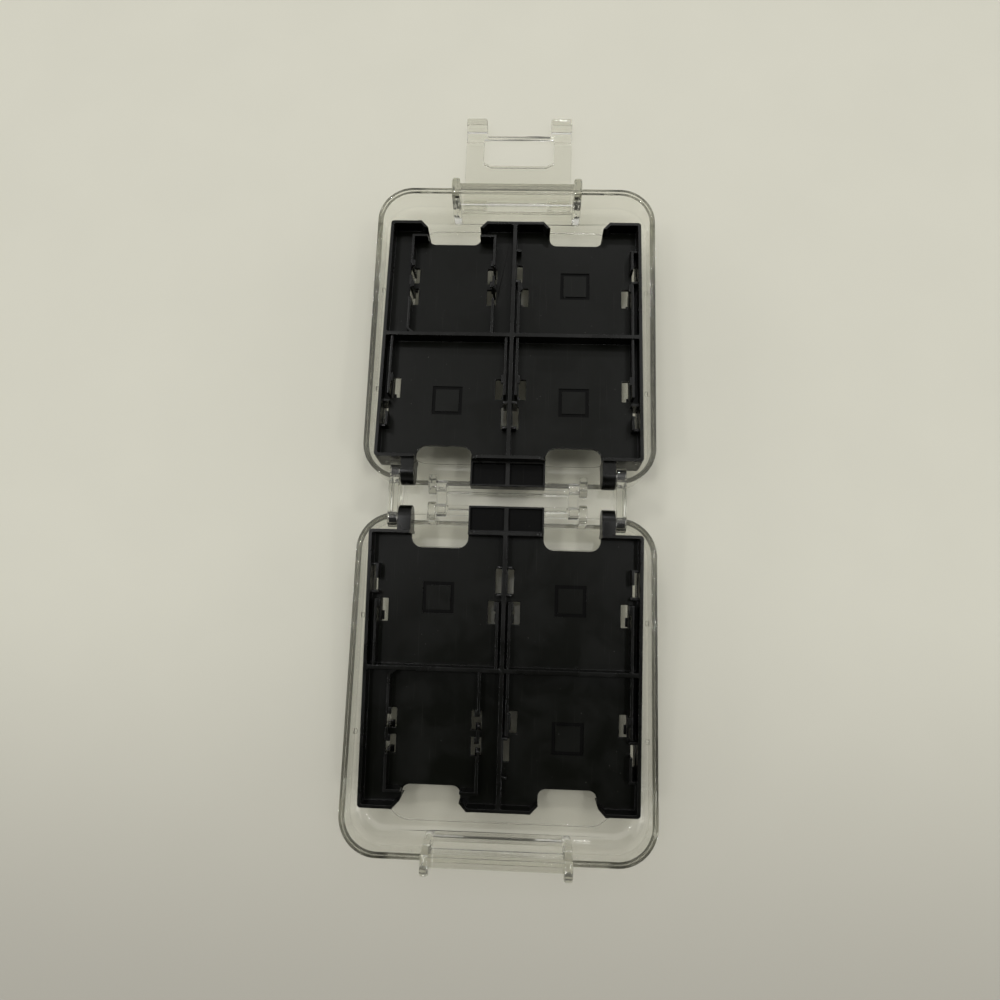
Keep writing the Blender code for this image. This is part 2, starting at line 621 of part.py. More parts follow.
def build_tray(name):
    """A tray drawn from its pin axis, y towards its free end, z from its middle."""
    half, thick = TRAY_WIDTH / 2, TRAY_THICKNESS / 2
    tray = rounded_block(name, (-half, TRAY_START, -thick), (half, TRAY_END, thick),
                         TRAY_CORNER_RADIUS, corner_segments=3)
    cut(tray, blocks(name + "_pockets", pocket_boxes()))
    join(tray, blocks(name + "_ribs", tray_ribs()))
    join(tray, blocks(name + "_stops", tray_stops()))
    cut(tray, blocks(name + "_slots", tray_slots()))
    join(tray, blocks(name + "_nubs", tray_nubs()))
    root = TRAY_START + TRAY_WALL / 2
    lug = arc((0.0, 0.0), TRAY_LUG_RADIUS, 90, 270, 14)
    lug += [(root, -TRAY_LUG_RADIUS), (root, TRAY_LUG_RADIUS)]
    for side, label in ((-1, "left"), (1, "right")):
        centre = side * NOTCH_CENTRE
        free = notch_outline(centre, TRAY_END - NOTCH_FREE_DEPTH, TRAY_END, NOTCH_FLARE)
        cut(tray, plate(name + "_free_notch_" + label, free, -TRAY_THICKNESS, TRAY_THICKNESS))
        hinge = notch_outline(centre, NOTCH_HINGE_DEPTH, TRAY_START)
        cut(tray, plate(name + "_hinge_notch_" + label, hinge, -TRAY_THICKNESS, TRAY_THICKNESS))
        span = sorted((side * TRAY_LUG_INNER, side * TRAY_LUG_OUTER))
        join(tray, plate(name + "_lug_" + label, lug, *span, axis="X"))
    pin_spans = both_spans(TRAY_LUG_OUTER - BITE, ARM_OUTER - CLEARANCE)
    join(tray, rod(name + "_pins", pin_spans, 0.0, 0.0, TRAY_PIN_RADIUS))
    add_tab(tray, name)
    for face, label in ((-1, "under"), (1, "top")):
        for x, y, place in ((1, FREE_MARK_Y, "free"), (-1, HINGE_MARK_Y, "left"),
                            (1, HINGE_MARK_Y, "right")):
            cut(tray, mark("_".join((name, "mark", label, place)), x * POCKET_CENTRE, y, face))
    return tray


def add_tab(tray, name):
    """The thin tab between the hinge notches, hollowed on both faces."""
    half = NOTCH_CENTRE - NOTCH_WIDTH / 2
    z = TAB_THICKNESS / 2
    join(tray, blocks(name + "_tab", [(
        (-half, -TAB_LENGTH, -z), (half, TRAY_START + TRAY_WALL / 2, z))]))
    hollows = []
    for face in (-1, 1):
        z0, z1 = sorted((face * TRAY_FLOOR / 2, face * (z + BITE)))
        for side in (-1, 1):
            x0, x1 = sorted((side * TRAY_RIB / 2, side * (half - TAB_WALL)))
            hollows.append(((x0, TAB_WALL - TAB_LENGTH, z0), (x1, TRAY_START - TAB_WALL, z1)))
    cut(tray, blocks(name + "_tab_hollows", hollows))


def build_latch():
    """The latch, drawn in the hinge frame, lying open beyond the upper shell."""
    name = "latch"
    half = LATCH_WIDTH / 2
    bottom = LATCH_BOTTOM
    top = bottom + LATCH_THICKNESS
    seat = BAR_Y + CLOSED_BAR_DISTANCE
    hook = seat + GROOVE_SPAN / 2
    tip = hook + HOOK_LENGTH
    start = BAR_Y + LATCH_BARREL - BITE
    latch = blocks(name, [((-half, start, bottom), (half, tip, top))])
    for side, label in ((-1, "left"), (1, "right")):
        clip = sorted((side * (half - CLIP_WIDTH), side * half))
        join(latch, rod(name + "_clip_" + label, [clip], BAR_Y, BAR_HEIGHT, LATCH_BARREL, 28))
    roots = both_sides((half - CLIP_WIDTH, BAR_Y, bottom),
                       (half, BAR_Y + LATCH_BARREL + BITE, BAR_HEIGHT))
    join(latch, blocks(name + "_clip_roots", roots))
    join(latch, blocks(name + "_hooks", both_sides(
        (half - LEG_WIDTH, hook, top - BITE), (half, tip, top + HOOK_RISE))))
    cut(latch, rod(name + "_bore", [(-half - BITE, half + BITE)], BAR_Y, BAR_HEIGHT, LATCH_BORE))
    cut(latch, blocks(name + "_mouth", [(
        (-half - BITE, BAR_Y - CLIP_MOUTH / 2, BAR_HEIGHT),
        (half + BITE, BAR_Y + CLIP_MOUTH / 2, BAR_HEIGHT + LATCH_BARREL + BITE))]))
    groove = BAR_HEIGHT - BAR_RADIUS - SEAT_CLEARANCE
    cut(latch, blocks(name + "_groove", [(
        (-half - BITE, seat - GROOVE_SPAN / 2, groove), (half + BITE, hook, top + BITE))]))
    cut(latch, plate(name + "_window", window_outline(seat), bottom - BITE, top + BITE))
    gap = half - LEG_WIDTH
    cut(latch, blocks(name + "_leg_gap", [(
        (-gap, seat + CROSSBAR_WIDTH, bottom - BITE), (gap, tip + BITE, top + BITE))]))
    return latch


def window_outline(seat):
    """The latch's window, with its two corners near the pivot cut off."""
    half = WINDOW_WIDTH / 2
    near = BAR_Y + WINDOW_START
    c = WINDOW_CHAMFER
    return [(-half + c, near), (half - c, near), (half, near + c / 2),
            (half, seat), (-half, seat), (-half, near + c / 2)]


clear_scene()
parts = make_collection("game_card_case")
cutters = make_collection("cutters")
axis_places = {}
clear_plastic = make_material("clear_plastic", (0.93, 0.94, 0.92, 1.0), 0.08, 0.9)
black_plastic = make_material("black_plastic", (0.02, 0.02, 0.018, 1.0), 0.45)

spine_axis = add_axis("spine_turn_axis", -AXIS_Y, AXIS_Z)
lid_axis = add_axis("lid_turn_axis", AXIS_Y, AXIS_Z, spine_axis)
upper_tray_axis = add_axis("upper_tray_turn_axis", PIN_Y, PIN_Z, spine_axis)
lower_tray_axis = add_axis("lower_tray_turn_axis", -PIN_Y, PIN_Z, spine_axis)
latch_axis = add_axis("latch_turn_axis", BAR_Y, BAR_HEIGHT, lid_axis)

finish_part(build_shell("lower_shell"), clear_plastic,
            location=(0.0, HINGE_LINE_Y, 0.0), turn_z=math.pi)
finish_part(build_shell("upper_shell"), clear_plastic, lid_axis, from_axis(lid_axis))
finish_part(build_spine(), clear_plastic, spine_axis, from_axis(spine_axis))
finish_part(build_tray("upper_tray"), black_plastic, upper_tray_axis,
            turn_x=-UPPER_TRAY_TILT)
finish_part(build_tray("lower_tray"), black_plastic, lower_tray_axis,
            turn_x=math.pi + LOWER_TRAY_TILT)
finish_part(build_latch(), clear_plastic, latch_axis, from_axis(latch_axis))
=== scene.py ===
"""Looks of a game card case that lies open on a pale table.

Each of the six mouldings is modelled again with rounded edges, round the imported
frame: two clear shells, a clear spine, two black card trays and a clear latch.

Metres, +Z up. A piece is drawn in the hinge frame: x along the hinges, y away from
the line halfway between the shells, z up from the table. A tray is drawn about its
pins. The pieces are then put where the frame has them.
"""
import json
import math

import bmesh
import bpy
from mathutils import Matrix, Vector

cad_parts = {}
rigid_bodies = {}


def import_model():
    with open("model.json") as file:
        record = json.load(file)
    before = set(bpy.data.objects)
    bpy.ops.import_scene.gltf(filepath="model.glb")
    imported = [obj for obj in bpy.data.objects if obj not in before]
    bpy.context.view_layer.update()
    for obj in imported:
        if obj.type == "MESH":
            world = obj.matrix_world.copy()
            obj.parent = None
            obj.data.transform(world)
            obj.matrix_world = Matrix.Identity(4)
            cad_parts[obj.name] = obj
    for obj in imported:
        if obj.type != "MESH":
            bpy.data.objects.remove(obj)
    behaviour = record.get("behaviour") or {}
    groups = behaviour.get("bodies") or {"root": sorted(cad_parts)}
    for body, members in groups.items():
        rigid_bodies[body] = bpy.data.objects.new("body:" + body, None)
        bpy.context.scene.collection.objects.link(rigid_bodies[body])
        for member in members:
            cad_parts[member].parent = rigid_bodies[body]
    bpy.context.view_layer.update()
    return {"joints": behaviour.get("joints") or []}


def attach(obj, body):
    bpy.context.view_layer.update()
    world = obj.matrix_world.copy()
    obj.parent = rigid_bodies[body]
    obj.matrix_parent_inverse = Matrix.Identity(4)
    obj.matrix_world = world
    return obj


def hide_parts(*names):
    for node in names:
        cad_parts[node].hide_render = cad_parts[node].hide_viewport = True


MM = 0.001

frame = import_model()
axes = {joint["name"]: joint["pos_m"] for joint in frame["joints"]}

# Places of the axes in the hinge frame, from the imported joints
HINGE_Y = (axes["spine_turn"][1] + axes["lid_turn"][1]) / 2
AXIS_Y = axes["lid_turn"][1] - HINGE_Y
AXIS_Z = axes["lid_turn"][2]
PIN_Y = axes["upper_tray_turn"][1] - HINGE_Y
PIN_Z = axes["upper_tray_turn"][2]
BAR_Y = axes["latch_turn"][1] - HINGE_Y
BAR_Z = axes["latch_turn"][2]

# Shells
SHELL_HALF_WIDTH = 43.45 * MM
SHELL_START = 5.1 * MM
SHELL_END = 99.8 * MM
SHELL_DEPTH = 15.5 * MM
WALL = 1.5 * MM
CORNER_RADIUS = 11.0 * MM
EDGE_RADIUS = 6.0 * MM
PANEL_STEP = 0.4 * MM
PANEL_INSET_X = 10.0 * MM
PANEL_HINGE_INSET = 8.0 * MM
PANEL_FREE_INSET = 6.8 * MM
PANEL_ROUNDING = 0.25 * MM
RECESS_INSET = 0.5 * MM
PANEL_CORNER_RADIUS = 8.0 * MM
LIP_INSET = 0.8 * MM
LIP_DEPTH = 0.8 * MM
SILL_HEIGHT = 4.4 * MM
FLOOR_Z = PANEL_STEP + WALL

# Shell hinges
EYE_RADIUS = 2.2 * MM
HINGE_PIN_RADIUS = 1.2 * MM
LUG_INNER = 21.1 * MM
LUG_OUTER = 23.5 * MM
LUG_FRONT = 4.9 * MM
LUG_BACK = 6.9 * MM
LUG_TOP = 14.6 * MM

# Latch bay
BAY_HALF_WIDTH = 18.2 * MM
EAR_OUTER = 20.75 * MM
EAR_END = SHELL_END + 4.4 * MM
EAR_CORNER_RADIUS = 1.6 * MM
BAY_FRONT_STEP = 1.8 * MM
CHANNEL_HEIGHT = 7.0 * MM
CHANNEL_DEPTH = 3.0 * MM
CHANNEL_ROUNDING = 1.0 * MM
BAR_RADIUS = 1.25 * MM
NUB_RADIUS = 0.8 * MM
NUB_RISE = 0.9 * MM
NUB_HEIGHT = 9.0 * MM
NUB_PLACES = (34.8 * MM, 67.8 * MM)

# Spine
CLEARANCE = 0.3 * MM
SPINE_HALF_WIDTH = 4.5 * MM
SPINE_BOTTOM = 8.6 * MM
SPINE_THICKNESS = 1.2 * MM
SPINE_BAR_OUTER = 3.2 * MM
SPINE_BAR_THICKNESS = 1.3 * MM
SPINE_BAR_TOP = AXIS_Z + 0.5 * MM
BOSS_INNER = 18.0 * MM
BOSS_OUTER = LUG_INNER - CLEARANCE
ARM_INNER = 31.5 * MM
ARM_OUTER = 34.4 * MM
ARM_RADIUS = 2.7 * MM

# Card trays
TRAY_HALF_WIDTH = 39.0 * MM
TRAY_HALF_THICKNESS = 5.0 * MM
TRAY_START = 3.5 * MM
TRAY_END = 80.7 * MM
TRAY_WALL = 1.0 * MM
TRAY_HALF_FLOOR = 0.6 * MM
TRAY_HALF_RIB = 0.6 * MM
DIVIDER_Y = 42.3 * MM
UPPER_TILT = math.radians(3.0)
LOWER_TILT = math.radians(5.6)
TRAY_PIN_RADIUS = 1.35 * MM
TRAY_LUG_RADIUS = 3.8 * MM
TRAY_LUG_OUTER = 31.2 * MM
TAB_LENGTH = 4.0 * MM
TAB_HALF_THICKNESS = 2.0 * MM
TAB_WALL = 0.5 * MM

# Thumb notches
NOTCH_CENTRE = 19.1 * MM
NOTCH_HALF_WIDTH = 8.2 * MM
FREE_NOTCH_RADIUS = 2.2 * MM
HINGE_NOTCH_RADIUS = 3.0 * MM
FREE_NOTCH_BASE = 75.0 * MM
HINGE_NOTCH_BASE = 8.3 * MM
HINGE_WALL_RADIUS = 2.2 * MM
NOTCH_FLARE = 2.1 * MM
NOTCH_FLARE_LENGTH = 2.3 * MM

# Card pockets
POCKET_CENTRE = 18.95 * MM
WIDE_HALF = 16.85 * MM
NARROW_HALF = 12.35 * MM
RIB_THICKNESS = 0.8 * MM
RIB_TOP = 4.5 * MM
RIB_FOOT = 2.0 * MM
RIB_FOOT_SLANT = 1.3
NARROW_RIB_END = 76.3 * MM
CLIP_OVERHANG = 0.7 * MM
CLIP_LENGTH = 2.7 * MM
SHORT_CLIP_LENGTH = 2.0 * MM
CLIP_THICKNESS = 0.9 * MM
CLIP_TOP = RIB_TOP - 0.15 * MM
STOP_HEIGHT = 3.2 * MM
STOP_THICKNESS = 0.8 * MM
SLOT_WIDTH = 2.2 * MM
WALL_SLOT_WIDTH = 1.3 * MM
WALL_SLOT_OFFSET = 18.25 * MM
MIDDLE_SLOT_WIDTH = 1.7 * MM
MIDDLE_SLOT_OFFSET = 17.2 * MM
FREE_INNER_SLOT = (53.9 * MM, 60.1 * MM)
FREE_OUTER_SLOT = (61.5 * MM, 68.0 * MM)
FREE_STOPS = (60.7 * MM, 71.3 * MM)
HINGE_INNER_SLOT = (23.2 * MM, 29.7 * MM)
HINGE_OUTER_SLOT = (14.0 * MM, 21.0 * MM)
HINGE_STOPS = (13.2 * MM, 21.0 * MM)
NARROW_SLOTS = ((54.0 * MM, 59.5 * MM), (61.4 * MM, 66.6 * MM))
NARROW_SLOT_WIDTH = 2.9 * MM
NARROW_SLOT_OFFSET = NARROW_HALF - 0.25 * MM
MARK_HALF = 4.5 * MM
MARK_GROOVE = 1.0 * MM
MARK_DEPTH = 0.3 * MM
FREE_MARK_Y = 61.0 * MM
HINGE_MARK_Y = 22.6 * MM

# Latch
LATCH_HALF_WIDTH = 17.8 * MM
LATCH_THICKNESS = 2.6 * MM
LATCH_BARREL = 2.65 * MM
LATCH_BORE = 1.55 * MM
LATCH_BOTTOM = BAR_Z - LATCH_BARREL
LATCH_TOP = LATCH_BOTTOM + LATCH_THICKNESS
LATCH_CLIP_INNER = 10.1 * MM
LATCH_MOUTH_HALF = 1.0 * MM
LATCH_SEAT = BAR_Y + 25.2 * MM
GROOVE_HALF = 2.1 * MM
GROOVE_FLOOR = 1.5 * MM
LATCH_EDGE = 0.35 * MM
HOOK_LENGTH = 3.1 * MM
HOOK_FOOT = 2.6 * MM
HOOK_RISE = 2.4 * MM
HOOK_ROUNDING = 0.6 * MM
LEG_INNER = 10.8 * MM
CROSSBAR_WIDTH = 1.2 * MM
WINDOW_HALF_WIDTH = 11.85 * MM
WINDOW_START = BAR_Y + 14.2 * MM
WINDOW_CHAMFER = 2.6 * MM

# Rounding of the moulded edges, and how far joined bodies and cutters overlap
EDGE = 0.34 * MM
TRAY_EDGE = 0.22 * MM
FINE_EDGE = 0.14 * MM
BITE = 0.5 * MM

# Segments in the roundings, and sides of the rods
EDGE_SEGMENTS = 2
ROD_EDGE_SEGMENTS = 3
SHELL_CORNER_SEGMENTS = 24
SHELL_EDGE_SEGMENTS = 20
PANEL_CORNER_SEGMENTS = 18
PANEL_EDGE_SEGMENTS = 4
LIP_CORNER_SEGMENTS = 18
TRAY_CORNER_SEGMENTS = 4
POCKET_CORNER_SEGMENTS = 3
SLOT_CORNER_SEGMENTS = 2
ROD_SIDES = 40
NUB_SIDES = 24

# Tolerances: what counts as level, as one point, as straight, sharp or smooth
LEVEL = BITE / 10
MERGE = BITE / 500
OUTLINE_MERGE = BITE / 1000
STRAIGHT_ANGLE = math.radians(1)
SHARP_ANGLE = math.radians(50)
LATCH_SHARP_ANGLE = math.radians(30)
SMOOTH_ANGLE = math.radians(35)
LEVEL_NORMAL = 0.99

# Handling marks: the part of each noise that shows, and two sets of scratches, each
# with its turn about Z and its stretch
SMUDGE_RANGE = (0.42, 0.68)
SCRATCH_RANGE = (0.71, 0.76)
DUST_RANGE = (0.06, 0.03)
DUST_SCALE = 420.0
SCRATCH_TILT = (0.2, 0.3)
SCRATCH_SETS = ((0.35, (2600.0, 60.0, 60.0)), (-0.9, (3400.0, 45.0, 45.0)))

# Clear plastic: its tint, its roughness from clean to smudged, the tint and density of
# its depth, and what diffuse and shadow rays keep face on and at a grazing angle
CLEAR_TINT = (0.995, 0.993, 0.97, 1.0)
CLEAR_IOR = 1.49
CLEAR_TRANSMISSION = 0.992
CLEAR_ROUGHNESS = (0.015, 0.07)
SCRATCH_ROUGHNESS = 0.16
DEPTH_TINT = (0.82, 0.82, 0.78, 1.0)
DEPTH_DENSITY = 110.0
FACE_ON_LIGHT = (0.985, 0.985, 0.98, 1.0)
GRAZING_LIGHT = (0.84, 0.84, 0.82, 1.0)
GRAZING_BLEND = 0.15

# Black plastic: name, colour, specular level, roughness and grain depth of each finish,
# in the order in which the trays carry them
SATIN, MATT, PAINTED_SHADE = range(3)
BLACK_FINISHES = (
    ("black_plastic_satin", (0.0008, 0.0009, 0.0003, 1.0), 0.24, 0.3, 0.008 * MM),
    ("black_plastic_matt", (0.0007, 0.0010, 0.0, 1.0), 0.145, 0.36, 0.02 * MM),
    # A darker black with a lower sheen: painted shade for the grooves and the tab hollows
    ("black_plastic_dull", (0.0004, 0.0004, 0.0002, 1.0), 0.07, 0.42, 0.01 * MM),
)
SCUFF_TONE = (0.09, 0.088, 0.08, 1.0)
SCRATCH_SHARE = 0.06
CLEANER_BY = 0.05
SMUDGED_BY = 0.09
GRAIN_STRENGTH = 0.5

# Table: the two tones of its mottle, and the painted shade that darkens it towards the near edge
TABLE_SIZE = 8.0
TABLE_TONES = ((0.583, 0.572, 0.491, 1.0), (0.614, 0.602, 0.517, 1.0))
NEAR_PAINTED_SHADE = (0.386, 0.372, 0.324, 1.0)
NEAR_SPAN = (-110 * MM, 40 * MM)

# Room: colours below the horizon and straight overhead, and grey levels between them,
# each with its height
ROOM_BELOW = (0.24, 0.235, 0.22, 1.0)
ROOM_ABOVE = (0.95, 0.94, 0.91, 1.0)
ROOM_LEVELS = ((0.06, 0.5), (0.3, 0.56), (0.5, 0.3), (0.9, 0.75))
ROOM_TINT = (1.0, 0.99, 0.96)

# Bright sides of the room, and the direction overhead that is dim
SIDE_GLOW = (1.7, 1.7, 1.66, 1.0)
SIDE_RANGE = (0.8, 0.96)
DIM_TOWARD = (0.0, -0.45, 0.9)
DIM_RANGE = (0.83, 0.96)
DIM_STRENGTH = 0.04

# Ceiling tubes: place and power of each
TUBE_LENGTH = 0.2
TUBE_WIDTH = 0.03
CEILING_TUBES = (
    (-0.36, 0.12, 1.15, 1.8), (0.38, 0.1, 1.15, 1.8),
    (-0.5, 0.7, 1.1, 1.6), (0.5, 0.75, 1.1, 1.6),
    (-0.75, -0.35, 1.0, 1.2), (0.75, -0.4, 1.0, 1.2), (0.1, 1.25, 1.1, 1.8),
)

# Camera, lens and sensor in millimetres
CAMERA_LENS = 26.96
CAMERA_SENSOR = 36.0
CAMERA_NEAR = 5.0 * MM
CAMERA_PLACE = (6.09 * MM, 11.79 * MM, 230.6 * MM)
CAMERA_TURN = (0.185, 0.032, 0.032)


def select_only(piece):
    """Leave this piece alone selected and active."""
    bpy.ops.object.select_all(action="DESELECT")
    piece.select_set(True)
    bpy.context.view_layer.objects.active = piece


def apply_place(piece):
    """Put an object's place, turn and size into its mesh."""
    select_only(piece)
    bpy.ops.object.transform_apply(location=True, rotation=True, scale=True)


def bevel_edges(piece, wanted, offset, segments):
    """Round the edges that the test wants, in edit mode."""
    select_only(piece)
    bpy.ops.object.mode_set(mode="EDIT")
    bpy.ops.mesh.select_mode(type="EDGE")
    bpy.ops.mesh.select_all(action="DESELECT")
    mesh = bmesh.from_edit_mesh(piece.data)
    for edge in mesh.edges:
        edge.select_set(wanted(edge))
    bmesh.update_edit_mesh(piece.data)
    bpy.ops.mesh.bevel(offset_type="OFFSET", offset=offset, segments=segments, profile=0.5,
                       affect="EDGES", clamp_overlap=True)
    bpy.ops.object.mode_set(mode="OBJECT")


def is_sharp(edge):
    """True where the two faces of an edge meet at a sharp angle."""
    return len(edge.link_faces) == 2 and edge.calc_face_angle() > SHARP_ANGLE


def is_upright(edge):
    """True where an edge isn't level."""
    return abs(edge.verts[0].co.z - edge.verts[1].co.z) > LEVEL


def block(low, high, edge=0.0, upright=None, bottom=None):
    """A box between two corners.

    Its upright and bottom edges can take a rounding, given as radius and segments.
    """
    low, high = Vector(low), Vector(high)
    bpy.ops.object.select_all(action="DESELECT")
    bpy.ops.mesh.primitive_cube_add(size=1.0, location=(low + high) / 2)
    piece = bpy.context.active_object
    piece.scale = high - low
    apply_place(piece)
    if upright:
        bevel_edges(piece, is_upright, *upright)
    if bottom:
        bevel_edges(piece, lambda line: all(vert.co.z < low.z + LEVEL for vert in line.verts),
                    *bottom)
    if edge:
        bevel_edges(piece, is_sharp, edge, EDGE_SEGMENTS)
    return piece


def rod(start, end, y, z, radius, edge=0.0, vertices=ROD_SIDES):
    """A round rod along x with rounded ends."""
    bpy.ops.object.select_all(action="DESELECT")
    bpy.ops.mesh.primitive_cylinder_add(
        vertices=vertices, radius=radius, depth=end - start,
        location=((start + end) / 2, y, z), rotation=(0.0, math.pi / 2, 0.0))
    piece = bpy.context.active_object
    apply_place(piece)
    if edge:
        bevel_edges(piece, is_sharp, edge, ROD_EDGE_SEGMENTS)
    return piece


def turned_rod(start, end, x, z, radius):
    """A round rod along y."""
    bpy.ops.object.select_all(action="DESELECT")
    bpy.ops.mesh.primitive_cylinder_add(
        vertices=ROD_SIDES, radius=radius, depth=end - start,
        location=(x, (start + end) / 2, z), rotation=(math.pi / 2, 0.0, 0.0))
    piece = bpy.context.active_object
    apply_place(piece)
    return piece


def arc(centre, radius, start, end, steps):
    """Points of an arc in degrees, both ends included."""
    angles = [math.radians(start + (end - start) * i / steps) for i in range(steps + 1)]
    return [(centre[0] + radius * math.cos(a), centre[1] + radius * math.sin(a))
            for a in angles]


def plate(outline, low, high, axis="Z", edge=0.0):
    """A filled flat curve with a thickness. Its outline lies in XY, or in YZ for axis X."""
    curve = bpy.data.curves.new("outline", "CURVE")
    curve.dimensions = "2D"
    curve.fill_mode = "BOTH"
    curve.extrude = (high - low) / 2
    spline = curve.splines.new("POLY")
    spline.points.add(len(outline) - 1)
    for point, (u, v) in zip(spline.points, outline):
        point.co = (u, v, 0.0, 1.0)
    spline.use_cyclic_u = True
    piece = bpy.data.objects.new("outline", curve)
    bpy.context.scene.collection.objects.link(piece)
    select_only(piece)
    bpy.ops.object.convert(target="MESH")
    piece = bpy.context.active_object
    bpy.ops.object.mode_set(mode="EDIT")
    bpy.ops.mesh.select_all(action="SELECT")
    bpy.ops.mesh.remove_doubles(threshold=OUTLINE_MERGE)
    bpy.ops.mesh.dissolve_limited(angle_limit=STRAIGHT_ANGLE)
    bpy.ops.mesh.normals_make_consistent(inside=False)
    bpy.ops.object.mode_set(mode="OBJECT")
    middle = (low + high) / 2
    if axis == "X":
        piece.data.transform(Matrix(((0, 0, 1, middle), (1, 0, 0, 0),
                                     (0, 1, 0, 0), (0, 0, 0, 1))))
    else:
        piece.data.transform(Matrix.Translation((0.0, 0.0, middle)))
    if edge:
        bevel_edges(piece, is_sharp, edge, EDGE_SEGMENTS)
    return piece


def boolean(target, tools, operation):
    """Join the tools to the target or cut them out of it, all at once."""
    group = bpy.data.collections.new("tools")
    bpy.context.scene.collection.children.link(group)
    for tool in tools:
        for owner in list(tool.users_collection):
            owner.objects.unlink(tool)
        group.objects.link(tool)
    modifier = target.modifiers.new("boolean", "BOOLEAN")
    modifier.operation = operation
    modifier.solver = "MANIFOLD"
    modifier.operand_type = "COLLECTION"
    modifier.collection = group
    select_only(target)
    bpy.ops.object.modifier_apply(modifier=modifier.name)
    for tool in list(group.objects):
        bpy.data.objects.remove(tool, do_unlink=True)
    bpy.data.collections.remove(group)


def join(target, tools):
    """Make the tools one body with the target."""
    boolean(target, tools, "UNION")


def cut(target, tools):
    """Take the tools' shapes out of the target."""
    boolean(target, tools, "DIFFERENCE")


def soften(piece, width, angle=SHARP_ANGLE):
    """Round every edge that is sharper than the angle, with a Bevel modifier."""
    modifier = piece.modifiers.new("soften", "BEVEL")
    modifier.width = width
    modifier.segments = EDGE_SEGMENTS
    modifier.limit_method = "ANGLE"
    modifier.angle_limit = angle
    modifier.use_clamp_overlap = False
    modifier.miter_outer = "MITER_ARC"
    select_only(piece)
    bpy.ops.object.modifier_apply(modifier=modifier.name)


def clean(piece):
    """Merge what lies on one point and turn the faces outwards."""
    select_only(piece)
    bpy.ops.object.mode_set(mode="EDIT")
    bpy.ops.mesh.select_all(action="SELECT")
    bpy.ops.mesh.remove_doubles(threshold=MERGE)
    bpy.ops.mesh.dissolve_degenerate(threshold=MERGE)
    bpy.ops.mesh.delete_loose()
    bpy.ops.mesh.select_all(action="SELECT")
    bpy.ops.mesh.normals_make_consistent(inside=False)
    bpy.ops.object.mode_set(mode="OBJECT")


def shade(piece):
    """Smooth shading that keeps flat faces flat."""
    select_only(piece)
    bpy.ops.object.shade_smooth_by_angle(angle=SMOOTH_ANGLE)
    modifier = piece.modifiers.new("flat_faces", "WEIGHTED_NORMAL")
    modifier.keep_sharp = True
    modifier.weight = 100
    bpy.ops.object.modifier_apply(modifier=modifier.name)


def finished(piece):
    """Clean and shade a piece that has its whole shape."""
    clean(piece)
    shade(piece)
    return piece


def sides(start, end):
    """The same span on the left and on the right of the middle plane."""
    return [(-end, -start), (start, end)]


def mirrored(way, near, far):
    """The span from near to far on the side that way gives, -1 or 1, lowest end first."""
    return sorted((way * near, way * far))


